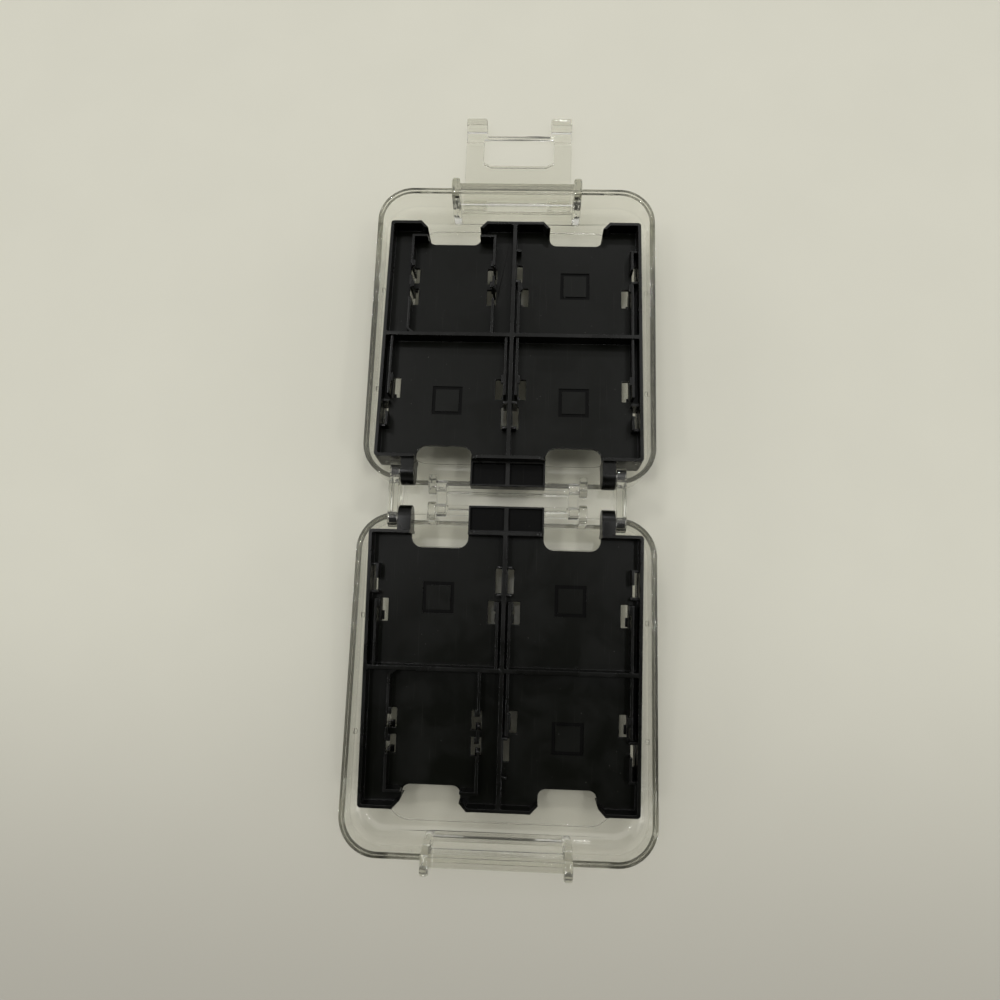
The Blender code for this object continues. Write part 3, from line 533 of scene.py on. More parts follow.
def make_shell():
    """The upper shell, from its hinge lugs to the bar of its latch bay."""
    half = SHELL_HALF_WIDTH
    shell = block((-half, SHELL_START, PANEL_STEP), (half, SHELL_END, SHELL_DEPTH),
                  upright=(CORNER_RADIUS, SHELL_CORNER_SEGMENTS),
                  bottom=(EDGE_RADIUS, SHELL_EDGE_SEGMENTS))
    panel_start = SHELL_START + PANEL_HINGE_INSET
    panel_end = SHELL_END - PANEL_FREE_INSET
    panel = block((-half + PANEL_INSET_X, panel_start, 0.0),
                  (half - PANEL_INSET_X, panel_end, WALL),
                  upright=(PANEL_CORNER_RADIUS, PANEL_CORNER_SEGMENTS),
                  bottom=(PANEL_ROUNDING, PANEL_EDGE_SEGMENTS))
    front = block((-BAY_HALF_WIDTH - BITE, SHELL_END - WALL, CHANNEL_HEIGHT),
                  (BAY_HALF_WIDTH + BITE, SHELL_END + BAY_FRONT_STEP, SHELL_DEPTH))
    join(shell, [panel, front])
    channel = block((-BAY_HALF_WIDTH, SHELL_END - CHANNEL_DEPTH, -BITE),
                    (BAY_HALF_WIDTH, SHELL_END + CHANNEL_DEPTH, CHANNEL_HEIGHT))
    cavity = block((-half + WALL, SHELL_START + WALL, FLOOR_Z),
                   (half - WALL, SHELL_END - WALL, SHELL_DEPTH + BITE),
                   upright=(CORNER_RADIUS - WALL, SHELL_CORNER_SEGMENTS),
                   bottom=(EDGE_RADIUS - WALL, SHELL_EDGE_SEGMENTS))
    inset_x = PANEL_INSET_X + RECESS_INSET
    recess = block((-half + inset_x, panel_start + RECESS_INSET, FLOOR_Z - PANEL_STEP),
                   (half - inset_x, panel_end - RECESS_INSET, FLOOR_Z + BITE),
                   upright=(PANEL_CORNER_RADIUS - RECESS_INSET, PANEL_CORNER_SEGMENTS),
                   bottom=(PANEL_ROUNDING, PANEL_EDGE_SEGMENTS))
    channel_wall = block((-BAY_HALF_WIDTH - WALL, SHELL_END - CHANNEL_DEPTH - WALL, 0.0),
                         (BAY_HALF_WIDTH + WALL, SHELL_END, CHANNEL_HEIGHT + WALL),
                         edge=CHANNEL_ROUNDING)
    cut(cavity, [channel_wall])
    lip = block((-half + LIP_INSET, SHELL_START + LIP_INSET, SHELL_DEPTH - LIP_DEPTH),
                (half - LIP_INSET, SHELL_END - LIP_INSET, SHELL_DEPTH + BITE),
                upright=(CORNER_RADIUS - LIP_INSET, LIP_CORNER_SEGMENTS))
    slot = ARM_OUTER + CLEARANCE
    window = block((-slot, SHELL_START - BITE, SILL_HEIGHT),
                   (slot, SHELL_START + WALL + 2 * BITE, SHELL_DEPTH + BITE))
    for tool in (channel, cavity, recess, lip, window):
        cut(shell, [tool])
    soften(shell, FINE_EDGE)
    extras = shell_lugs() + shell_ears()
    extras.append(rod(-BAY_HALF_WIDTH - BITE, BAY_HALF_WIDTH + BITE, BAR_Y, BAR_Z, BAR_RADIUS))
    inside = half - WALL
    for start, end in sides(inside - NUB_RISE, inside + BITE):
        for y in NUB_PLACES:
            extras.append(rod(start, end, y, NUB_HEIGHT, NUB_RADIUS, edge=NUB_RADIUS / 2,
                              vertices=NUB_SIDES))
    join(shell, extras)
    return shell


def shell_lugs():
    """The two eyes on the hinge side, each with a stub pin for the spine."""
    outline = [(LUG_FRONT, FLOOR_Z + BITE), (LUG_BACK, FLOOR_Z + BITE), (LUG_BACK, LUG_TOP)]
    outline += arc((AXIS_Y, AXIS_Z), EYE_RADIUS, 90, 270, steps=16)
    outline += [(LUG_FRONT, AXIS_Z - EYE_RADIUS)]
    pieces = []
    for start, end in sides(LUG_INNER, LUG_OUTER):
        pieces.append(plate(outline, start, end, axis="X", edge=EDGE))
    for start, end in sides(BOSS_INNER + CLEARANCE, LUG_INNER + BITE):
        pieces.append(rod(start, end, AXIS_Y, AXIS_Z, HINGE_PIN_RADIUS, edge=EDGE))
    return pieces


def shell_ears():
    """The two cheeks of the latch bay."""
    start = SHELL_END - CHANNEL_DEPTH - WALL
    r = EAR_CORNER_RADIUS
    outline = [(start, PANEL_STEP), (EAR_END - r, PANEL_STEP)]
    outline += arc((EAR_END - r, PANEL_STEP + r), r, -90, 0, steps=6)
    outline += arc((EAR_END - r, SHELL_DEPTH - r), r, 0, 90, steps=6)
    outline += [(SHELL_END - WALL, SHELL_DEPTH), (start, EDGE_RADIUS)]
    return [plate(outline, low, high, axis="X", edge=2 * EDGE)
            for low, high in sides(BAY_HALF_WIDTH, EAR_OUTER)]


def make_spine():
    """The plate between the shells, with its two bars, two bosses and two arms."""
    plate_end = ARM_OUTER - CLEARANCE
    spine = block((-plate_end, -SPINE_HALF_WIDTH, SPINE_BOTTOM),
                  (plate_end, SPINE_HALF_WIDTH, SPINE_BOTTOM + SPINE_THICKNESS), edge=EDGE)
    half = SPINE_HALF_WIDTH - CLEARANCE
    foot = SPINE_BOTTOM + SPINE_THICKNESS / 2
    arm = [(-half, foot), (half, foot)]
    arm += arc((PIN_Y, PIN_Z), ARM_RADIUS, -45, 90, steps=16)
    arm += arc((-PIN_Y, PIN_Z), ARM_RADIUS, 90, 225, steps=16)
    boss = [(-half, foot), (half, foot), (half, AXIS_Z)]
    boss += arc((AXIS_Y, AXIS_Z), EYE_RADIUS, 0, 90, steps=10)
    boss += arc((-AXIS_Y, AXIS_Z), EYE_RADIUS, 90, 180, steps=10)
    boss += [(-half, AXIS_Z)]
    pieces = []
    for start, end in sides(ARM_INNER, ARM_OUTER):
        pieces.append(plate(arm, start, end, axis="X", edge=EDGE))
    for start, end in sides(BOSS_INNER, BOSS_OUTER):
        pieces.append(plate(boss, start, end, axis="X", edge=EDGE))
    for start, end in sides(SPINE_BAR_OUTER - SPINE_BAR_THICKNESS, SPINE_BAR_OUTER):
        pieces.append(block((-BOSS_INNER - BITE, start, foot),
                            (BOSS_INNER + BITE, end, SPINE_BAR_TOP), edge=EDGE))
    join(spine, pieces)
    bores = []
    for way in (-1, 1):
        for start, end in sides(BOSS_INNER - BITE, BOSS_OUTER + BITE):
            bores.append(rod(start, end, way * AXIS_Y, AXIS_Z, HINGE_PIN_RADIUS + CLEARANCE))
        for start, end in sides(ARM_INNER - BITE, ARM_OUTER + BITE):
            bores.append(rod(start, end, way * PIN_Y, PIN_Z, TRAY_PIN_RADIUS + CLEARANCE))
    cut(spine, bores)
    return spine


def notch_outline(centre, base, mouth, r, flare):
    """Outline of a thumb notch, from its round-cornered base to its mouth."""
    half = NOTCH_HALF_WIDTH
    out = 1 if mouth > base else -1
    corners = arc((centre - half + r, 0.0), r, 180, 270, steps=8)
    corners += arc((centre + half - r, 0.0), r, 270, 360, steps=8)
    outline = [(x, base + out * (r + rise)) for x, rise in corners]
    past = mouth + out * BITE
    if flare > 0.0:
        neck = mouth - out * NOTCH_FLARE_LENGTH
        outline += [(centre + half, neck), (centre + half + flare, mouth),
                    (centre + half + flare, past), (centre - half - flare, past),
                    (centre - half - flare, mouth), (centre - half, neck)]
    else:
        outline += [(centre + half, past), (centre - half, past)]
    return outline


def wide_pockets():
    """Centre, inner slot, outer slot and stops of the three pockets for wide cards."""
    return [(POCKET_CENTRE, FREE_INNER_SLOT, FREE_OUTER_SLOT, FREE_STOPS),
            (-POCKET_CENTRE, HINGE_INNER_SLOT, HINGE_OUTER_SLOT, HINGE_STOPS),
            (POCKET_CENTRE, HINGE_INNER_SLOT, HINGE_OUTER_SLOT, HINGE_STOPS)]


def pocket_cutters():
    """The eight hollows of a tray, four on each face."""
    half = TRAY_HALF_WIDTH - TRAY_WALL
    rows = ((TRAY_START + TRAY_WALL, DIVIDER_Y - TRAY_HALF_RIB),
            (DIVIDER_Y + TRAY_HALF_RIB, TRAY_END - TRAY_WALL))
    pieces = []
    for y0, y1 in rows:
        for x0, x1 in sides(TRAY_HALF_RIB, half):
            for face in (-1, 1):
                z0, z1 = mirrored(face, TRAY_HALF_FLOOR, TRAY_HALF_THICKNESS + BITE)
                pieces.append(block((x0, y0, z0), (x1, y1, z1),
                                    upright=(TRAY_EDGE * 2, POCKET_CORNER_SEGMENTS)))
    return pieces


def slot_cutter(x, width, span):
    """A cutter for one through slot along y."""
    thick = TRAY_HALF_THICKNESS
    return block((x - width / 2, span[0], -thick), (x + width / 2, span[1], thick),
                 upright=(TRAY_EDGE, SLOT_CORNER_SEGMENTS))


def slot_cutters():
    """Through slots that the card clips are moulded over."""
    inset = SLOT_WIDTH / 2 + CLEARANCE
    pieces = []
    for side in (-1, 1):
        for centre, inner, outer, _ in wide_pockets():
            pieces.append(slot_cutter(centre + side * (WIDE_HALF - inset), SLOT_WIDTH, inner))
            offset, width = MIDDLE_SLOT_OFFSET, MIDDLE_SLOT_WIDTH
            if side * centre > 0:
                offset, width = WALL_SLOT_OFFSET, WALL_SLOT_WIDTH
            pieces.append(slot_cutter(centre + side * offset, width, outer))
        for span in NARROW_SLOTS:
            x = side * NARROW_SLOT_OFFSET - POCKET_CENTRE
            pieces.append(slot_cutter(x, NARROW_SLOT_WIDTH, span))
    return pieces


def hinge_wall_corners():
    """Cutters that round the wall between the hinge notches at both ends of its top."""
    r = HINGE_WALL_RADIUS
    edge = NOTCH_CENTRE - NOTCH_HALF_WIDTH
    pieces = []
    for side in (-1, 1):
        for face in (-1, 1):
            x0, x1 = mirrored(side, edge - r, edge + BITE)
            z0, z1 = mirrored(face, TRAY_HALF_THICKNESS - r, TRAY_HALF_THICKNESS + BITE)
            corner = block((x0, TRAY_START - BITE, z0), (x1, HINGE_NOTCH_BASE, z1))
            core = turned_rod(TRAY_START - 2 * BITE, HINGE_NOTCH_BASE + BITE, side * (edge - r),
                              face * (TRAY_HALF_THICKNESS - r), r)
            cut(corner, [core])
            pieces.append(corner)
    return pieces


def notch_cutters():
    """Cutters for the thumb notches at both ends of a tray."""
    thick = TRAY_HALF_THICKNESS + BITE
    pieces = []
    for centre in (-NOTCH_CENTRE, NOTCH_CENTRE):
        free = notch_outline(centre, FREE_NOTCH_BASE, TRAY_END, FREE_NOTCH_RADIUS, NOTCH_FLARE)
        hinge = notch_outline(centre, HINGE_NOTCH_BASE, TRAY_START, HINGE_NOTCH_RADIUS, 0.0)
        pieces += [plate(free, -thick, thick), plate(hinge, -thick, thick)]
    return pieces


def upright_rib(x_a, x_b, y_a, y_b, height):
    """A rib that stands on both faces of the floor."""
    x0, x1 = sorted((x_a, x_b))
    y0, y1 = sorted((y_a, y_b))
    return block((x0, y0, -height), (x1, y1, height), edge=FINE_EDGE)


def card_ribs():
    """Low ribs beside the cards, and short stops at both ends of the outer slots."""
    pieces = []
    outer_wall = TRAY_HALF_WIDTH - TRAY_WALL / 2
    for side in (-1, 1):
        for centre, inner, outer, stops in wide_pockets():
            edge = centre + side * WIDE_HALF
            back = edge + side * RIB_THICKNESS
            far = 1 if inner[0] > DIVIDER_Y else 0
            pieces.append(upright_rib(edge, back, DIVIDER_Y, inner[far], RIB_TOP))
            wall = 0.0
            if side * centre > 0:
                wall = side * outer_wall
                middle = (outer[0] + outer[1]) / 2
                pieces.append(upright_rib(edge, back, middle, stops[far], RIB_TOP))
            for y in stops:
                pieces.append(upright_rib(edge, wall, y, y + STOP_THICKNESS, STOP_HEIGHT))
        pieces += narrow_ribs(side)
    return pieces


def narrow_ribs(side):
    """The broken rib on one side of the narrow pocket, and the short wall at its end."""
    edge = side * NARROW_HALF - POCKET_CENTRE
    back = edge + side * RIB_THICKNESS
    first, last = NARROW_SLOTS
    start = DIVIDER_Y + RIB_FOOT if side < 0 else DIVIDER_Y
    spans = [(start, first[0] + RIB_THICKNESS),
             (first[1] - RIB_THICKNESS, last[0] + RIB_THICKNESS),
             (last[1] - RIB_THICKNESS, NARROW_RIB_END)]
    pieces = [upright_rib(edge, back, y0, y1, RIB_TOP) for y0, y1 in spans]
    notch_side = side * NOTCH_HALF_WIDTH - NOTCH_CENTRE
    pieces.append(upright_rib(notch_side, (edge + back) / 2, NARROW_RIB_END - RIB_THICKNESS,
                              NARROW_RIB_END, RIB_TOP))
    if side < 0:
        foot = [(edge, start + RIB_THICKNESS), (back, start + RIB_THICKNESS), (back, start),
                (back + RIB_FOOT, DIVIDER_Y),
                (edge + RIB_FOOT_SLANT * RIB_FOOT, DIVIDER_Y), (edge, start)]
        pieces.append(plate(foot, -RIB_TOP, RIB_TOP))
    return pieces


def flare_walls():
    """Full-height walls along the flared mouths of the free notches."""
    neck = TRAY_END - NOTCH_FLARE_LENGTH
    pieces = []
    for centre in (-NOTCH_CENTRE, NOTCH_CENTRE):
        for side in (-1, 1):
            near = centre + side * NOTCH_HALF_WIDTH
            mouth = near + side * NOTCH_FLARE
            thick = side * TRAY_WALL
            outline = [(near, neck), (mouth, TRAY_END),
                       (mouth + thick, TRAY_END), (near + thick, neck)]
            pieces.append(plate(outline, -TRAY_HALF_THICKNESS, TRAY_HALF_THICKNESS))
    return pieces


def card_clip(edge, side, y, length, face):
    """A nub on a rib that overhangs the card's edge on one face."""
    z0, z1 = mirrored(face, CLIP_TOP - CLIP_THICKNESS, CLIP_TOP)
    x0, x1 = sorted((edge - side * CLIP_OVERHANG, edge + side * RIB_THICKNESS / 2))
    return block((x0, y, z0), (x1, y + length, z1), edge=TRAY_EDGE)


def clip_post(edge, side, y, length, face):
    """The post under a clip where the narrow rib is broken."""
    z0, z1 = mirrored(face, 0.0, CLIP_TOP - CLIP_THICKNESS / 2)
    x0, x1 = sorted((edge, edge + side * RIB_THICKNESS))
    return block((x0, y, z0), (x1, y + length, z1), edge=FINE_EDGE)


def card_clips():
    """The clips over both long edges of each card, on both faces."""
    pieces = []
    length = SHORT_CLIP_LENGTH
    for side in (-1, 1):
        for face in (-1, 1):
            for centre, inner, _, _ in wide_pockets():
                y = inner[1] - CLIP_LENGTH if face > 0 else inner[0]
                pieces.append(card_clip(centre + side * WIDE_HALF, side, y, CLIP_LENGTH, face))
            for span in NARROW_SLOTS:
                y = span[1] + RIB_THICKNESS - length if face > 0 else span[0] - RIB_THICKNESS
                edge = side * NARROW_HALF - POCKET_CENTRE
                pieces.append(card_clip(edge, side, y, length, face))
                pieces.append(clip_post(edge, side, y, length, face))
    return pieces


def tray_lugs():
    """Round lugs with stub pins, and the thin tab between the hinge notches."""
    root = TRAY_START + TRAY_WALL / 2
    outline = arc((0.0, 0.0), TRAY_LUG_RADIUS, 90, 270, steps=20)
    outline += [(root, -TRAY_LUG_RADIUS), (root, TRAY_LUG_RADIUS)]
    inner = NOTCH_CENTRE + NOTCH_HALF_WIDTH
    pieces = [plate(outline, start, end, axis="X", edge=TRAY_EDGE)
              for start, end in sides(inner, TRAY_LUG_OUTER)]
    pieces += [rod(start, end, 0.0, 0.0, TRAY_PIN_RADIUS, edge=TRAY_EDGE)
               for start, end in sides(TRAY_LUG_OUTER - BITE, ARM_OUTER - CLEARANCE)]
    half = NOTCH_CENTRE - NOTCH_HALF_WIDTH
    pieces.append(block((-half, -TAB_LENGTH, -TAB_HALF_THICKNESS),
                        (half, root, TAB_HALF_THICKNESS), edge=TRAY_EDGE))
    return pieces


def tab_hollows():
    """Two shallow hollows in each face of the tab."""
    half = NOTCH_CENTRE - NOTCH_HALF_WIDTH - TAB_WALL
    pieces = []
    for face in (-1, 1):
        z0, z1 = mirrored(face, TRAY_HALF_FLOOR, TAB_HALF_THICKNESS + BITE)
        for x0, x1 in sides(TRAY_HALF_RIB, half):
            pieces.append(block((x0, TAB_WALL - TAB_LENGTH, z0), (x1, TRAY_START - TAB_WALL, z1),
                                upright=(TRAY_EDGE, SLOT_CORNER_SEGMENTS)))
    return pieces


def mark_grooves():
    """Square grooves in the floors of the wide pockets, on both faces."""
    pieces = []
    core = MARK_HALF - MARK_GROOVE
    for x, y in ((POCKET_CENTRE, FREE_MARK_Y), (-POCKET_CENTRE, HINGE_MARK_Y),
                 (POCKET_CENTRE, HINGE_MARK_Y)):
        for face in (-1, 1):
            z0, z1 = mirrored(face, TRAY_HALF_FLOOR - MARK_DEPTH, TRAY_HALF_FLOOR + BITE)
            ring = block((x - MARK_HALF, y - MARK_HALF, z0), (x + MARK_HALF, y + MARK_HALF, z1))
            cut(ring, [block((x - core, y - core, z0 - BITE), (x + core, y + core, z1 + BITE))])
            pieces.append(ring)
    return pieces


def make_tray():
    """A tray drawn about its pins, y towards its free end, z from its middle."""
    half, thick = TRAY_HALF_WIDTH, TRAY_HALF_THICKNESS
    tray = block((-half, TRAY_START, -thick), (half, TRAY_END, thick),
                 upright=(TRAY_WALL, TRAY_CORNER_SEGMENTS))
    cut(tray, pocket_cutters())
    cut(tray, notch_cutters() + slot_cutters())
    cut(tray, hinge_wall_corners())
    soften(tray, FINE_EDGE)
    join(tray, card_ribs() + flare_walls() + tray_lugs())
    join(tray, card_clips())
    cut(tray, tab_hollows() + mark_grooves())
    return tray


def tray_finishes(tray):
    """The finish of each face: matt pocket floors, painted shade (a darker black) in the grooves
    and tab hollows, else satin.
    """
    near = MARK_DEPTH / 3
    finishes = []
    for polygon in tray.data.polygons:
        sunk = TRAY_HALF_FLOOR - abs(polygon.center.z)
        level = abs(polygon.normal.z) > LEVEL_NORMAL
        on_floor = level and abs(sunk) < near
        in_groove = level and abs(sunk - MARK_DEPTH) < near
        if on_floor and polygon.center.y > TRAY_START:
            finishes.append(MATT)
        else:
            # Grooves and tab hollows take the darker black of painted shade
            finishes.append(PAINTED_SHADE if on_floor or in_groove else SATIN)
    return finishes


def make_latch():
    """The latch, lying open beyond the upper shell."""
    half = LATCH_HALF_WIDTH
    hook = LATCH_SEAT + GROOVE_HALF
    tip = hook + HOOK_LENGTH
    latch = block((-half, BAR_Y + LATCH_BARREL - BITE, LATCH_BOTTOM), (half, tip, LATCH_TOP))
    cut(latch, [plate(window_outline(), LATCH_BOTTOM - BITE, LATCH_TOP + BITE),
                block((-LEG_INNER, LATCH_SEAT + CROSSBAR_WIDTH, LATCH_BOTTOM - BITE),
                      (LEG_INNER, tip + BITE, LATCH_TOP + BITE))])
    soften(latch, LATCH_EDGE, LATCH_SHARP_ANGLE)
    pieces = []
    for start, end in sides(LATCH_CLIP_INNER, half):
        pieces.append(rod(start, end, BAR_Y, BAR_Z, LATCH_BARREL, edge=EDGE))
        pieces.append(block((start, BAR_Y, LATCH_BOTTOM),
                            (end, BAR_Y + LATCH_BARREL + BITE, BAR_Z)))
    for start, end in sides(LEG_INNER, half):
        pieces.append(block((start, tip - HOOK_FOOT, LATCH_TOP - 2 * BITE),
                            (end, tip, LATCH_TOP + HOOK_RISE), edge=HOOK_ROUNDING))
    join(latch, pieces)
    cut(latch, [rod(-half - BITE, half + BITE, BAR_Y, BAR_Z, LATCH_BORE),
                block((-half - BITE, BAR_Y - LATCH_MOUTH_HALF, BAR_Z),
                      (half + BITE, BAR_Y + LATCH_MOUTH_HALF, BAR_Z + LATCH_BARREL + BITE)),
                block((-half - BITE, LATCH_SEAT - GROOVE_HALF, GROOVE_FLOOR),
                      (half + BITE, hook, LATCH_TOP + BITE))])
    return latch


def window_outline():
    """The latch's window, with its two corners near the bar cut off."""
    half, c = WINDOW_HALF_WIDTH, WINDOW_CHAMFER
    return [(-half + c, WINDOW_START), (half - c, WINDOW_START), (half, WINDOW_START + c / 2),
            (half, LATCH_SEAT), (-half, LATCH_SEAT), (-half, WINDOW_START + c / 2)]


def place(piece, name, materials, body, matrix, finishes=None):
    """Move a finished piece to its place and hand it to the frame.

    The finishes give the material of each face, as a place in the list of materials.
    """
    piece.name = name
    piece.data.name = name
    piece.data.transform(matrix)
    piece.data.materials.clear()
    for material in materials:
        piece.data.materials.append(material)
    if finishes:
        piece.data.polygons.foreach_set("material_index", finishes)
        piece.data.update()
    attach(piece, body)
    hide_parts(body)


def copy_of(piece):
    """A second piece of the same moulding, with its own mesh."""
    twin = piece.copy()
    twin.data = piece.data.copy()
    bpy.context.scene.collection.objects.link(twin)
    return twin


def handling_marks():
    """Node group: smudges, hairline scratches, dust and fine grain over Object coordinates."""
    group = bpy.data.node_groups.new("handling_marks", "ShaderNodeTree")
    face = group.interface
    face.new_socket("Position", in_out="INPUT", socket_type="NodeSocketVector")
    face.new_socket("Smudge Scale", in_out="INPUT", socket_type="NodeSocketFloat")
    face.new_socket("Grain Scale", in_out="INPUT", socket_type="NodeSocketFloat")
    for name in ("Smudge", "Scratch", "Dust", "Grain"):
        face.new_socket(name, in_out="OUTPUT", socket_type="NodeSocketFloat")
    nodes, links = group.nodes, group.links
    given = nodes.new("NodeGroupInput")
    result = nodes.new("NodeGroupOutput")

    smudge = add_noise(nodes, detail=3.0, roughness=0.6)
    smudge.inputs["Distortion"].default_value = 0.6
    links.new(given.outputs["Position"], smudge.inputs["Vector"])
    links.new(given.outputs["Smudge Scale"], smudge.inputs["Scale"])
    patches = add_range(nodes, *SMUDGE_RANGE)
    links.new(smudge.outputs["Fac"], patches.inputs["Value"])
    links.new(patches.outputs["Result"], result.inputs["Smudge"])

    scratches = []
    for turn, stretch in SCRATCH_SETS:
        mapping = nodes.new("ShaderNodeMapping")
        mapping.inputs["Rotation"].default_value = (*SCRATCH_TILT, turn)
        mapping.inputs["Scale"].default_value = stretch
        lines = add_noise(nodes, scale=1.0, detail=1.0)
        thin = add_range(nodes, *SCRATCH_RANGE)
        links.new(given.outputs["Position"], mapping.inputs["Vector"])
        links.new(mapping.outputs["Vector"], lines.inputs["Vector"])
        links.new(lines.outputs["Fac"], thin.inputs["Value"])
        scratches.append(thin)
    both = add_math(nodes, "MAXIMUM")
    links.new(scratches[0].outputs["Result"], both.inputs[0])
    links.new(scratches[1].outputs["Result"], both.inputs[1])
    links.new(both.outputs["Value"], result.inputs["Scratch"])

    specks = nodes.new("ShaderNodeTexVoronoi")
    specks.inputs["Scale"].default_value = DUST_SCALE
    near = add_range(nodes, *DUST_RANGE)
    few = add_math(nodes, "MULTIPLY")
    links.new(given.outputs["Position"], specks.inputs["Vector"])
    links.new(specks.outputs["Distance"], near.inputs["Value"])
    links.new(near.outputs["Result"], few.inputs[0])
    links.new(patches.outputs["Result"], few.inputs[1])
    links.new(few.outputs["Value"], result.inputs["Dust"])

    grain = add_noise(nodes, detail=2.0, roughness=0.7)
    links.new(given.outputs["Position"], grain.inputs["Vector"])
    links.new(given.outputs["Grain Scale"], grain.inputs["Scale"])
    links.new(grain.outputs["Fac"], result.inputs["Grain"])
    return group


def add_noise(nodes, scale=5.0, detail=2.0, roughness=0.5):
    noise = nodes.new("ShaderNodeTexNoise")
    noise.inputs["Scale"].default_value = scale
    noise.inputs["Detail"].default_value = detail
    noise.inputs["Roughness"].default_value = roughness
    return noise


def add_range(nodes, low, high, to_low=0.0, to_high=1.0):
    """Map Range node from low..high to to_low..to_high, clamped."""
    span = nodes.new("ShaderNodeMapRange")
    span.inputs["From Min"].default_value = low
    span.inputs["From Max"].default_value = high
    span.inputs["To Min"].default_value = to_low
    span.inputs["To Max"].default_value = to_high
    return span


def add_math(nodes, operation, second=0.0):
    math_node = nodes.new("ShaderNodeMath")
    math_node.operation = operation
    math_node.inputs[1].default_value = second
    return math_node


def add_mix(nodes, first=None, second=None):
    """Mix node between two colours, either of which may come from a link instead."""
    mix = nodes.new("ShaderNodeMix")
    mix.data_type = "RGBA"
    for socket, color in (("A", first), ("B", second)):
        if color:
            mix.inputs[socket].default_value = color
    return mix


def new_material(name):
    """A new material, with its nodes, its links and its Principled shader."""
    material = bpy.data.materials.new(name)
    material.use_nodes = True
    nodes = material.node_tree.nodes
    return material, nodes, material.node_tree.links, nodes["Principled BSDF"]


def add_marks(nodes, links, group, smudge_scale, grain_scale):
    """Place the group of handling marks in a material."""
    place_node = nodes.new("ShaderNodeTexCoord")
    marks = nodes.new("ShaderNodeGroup")
    marks.node_tree = group
    marks.inputs["Smudge Scale"].default_value = smudge_scale
    marks.inputs["Grain Scale"].default_value = grain_scale
    links.new(place_node.outputs["Object"], marks.inputs["Position"])
    return marks


def clear_plastic(group):
    """Polished clear plastic that lets the lamps' light through."""
    material, nodes, links, shader = new_material("clear_plastic")
    shader.inputs["Base Color"].default_value = CLEAR_TINT
    shader.inputs["IOR"].default_value = CLEAR_IOR
    shader.inputs["Transmission Weight"].default_value = CLEAR_TRANSMISSION
    marks = add_marks(nodes, links, group, smudge_scale=90.0, grain_scale=2500.0)

    haze = add_range(nodes, 0.0, 1.0, *CLEAR_ROUGHNESS)
    rough = add_math(nodes, "MULTIPLY_ADD", SCRATCH_ROUGHNESS)
    links.new(marks.outputs["Smudge"], haze.inputs["Value"])
    links.new(marks.outputs["Scratch"], rough.inputs[0])
    links.new(haze.outputs["Result"], rough.inputs[2])
    links.new(rough.outputs["Value"], shader.inputs["Roughness"])

    depth = nodes.new("ShaderNodeVolumeAbsorption")
    depth.inputs["Color"].default_value = DEPTH_TINT
    depth.inputs["Density"].default_value = DEPTH_DENSITY
    links.new(depth.outputs["Volume"], nodes["Material Output"].inputs["Volume"])

    path = nodes.new("ShaderNodeLightPath")
    through = nodes.new("ShaderNodeBsdfTransparent")
    facing = nodes.new("ShaderNodeLayerWeight")
    facing.inputs["Blend"].default_value = GRAZING_BLEND
    shadow = add_mix(nodes, FACE_ON_LIGHT, GRAZING_LIGHT)
    links.new(facing.outputs["Facing"], shadow.inputs["Factor"])
    links.new(shadow.outputs["Result"], through.inputs["Color"])
    surface = shader.outputs["BSDF"]
    for ray in ("Is Diffuse Ray", "Is Shadow Ray"):
        mix = nodes.new("ShaderNodeMixShader")
        links.new(path.outputs[ray], mix.inputs["Fac"])
        links.new(surface, mix.inputs[1])
        links.new(through.outputs["BSDF"], mix.inputs[2])
        surface = mix.outputs["Shader"]
    links.new(surface, nodes["Material Output"].inputs["Surface"])
    return material


def black_plastic(group, name, color, sheen, roughness, grain_depth):
    """One finish of the black plastic, or its darker black of painted shade, with grain,
    smudges, scratches and specks of dust.
    """
    material, nodes, links, shader = new_material(name)
    shader.inputs["Specular IOR Level"].default_value = sheen
    marks = add_marks(nodes, links, group, smudge_scale=70.0, grain_scale=5200.0)

    tone = add_mix(nodes, color, SCUFF_TONE)
    spots = add_math(nodes, "MULTIPLY_ADD", SCRATCH_SHARE)
    links.new(marks.outputs["Scratch"], spots.inputs[0])
    links.new(marks.outputs["Dust"], spots.inputs[2])
    links.new(spots.outputs["Value"], tone.inputs["Factor"])
    links.new(tone.outputs["Result"], shader.inputs["Base Color"])

    rough = add_range(nodes, 0.0, 1.0, roughness - CLEANER_BY, roughness + SMUDGED_BY)
    links.new(marks.outputs["Smudge"], rough.inputs["Value"])
    links.new(rough.outputs["Result"], shader.inputs["Roughness"])

    bump = nodes.new("ShaderNodeBump")
    bump.inputs["Strength"].default_value = GRAIN_STRENGTH
    bump.inputs["Distance"].default_value = grain_depth
    links.new(marks.outputs["Grain"], bump.inputs["Height"])
    links.new(bump.outputs["Normal"], shader.inputs["Normal"])
    return material


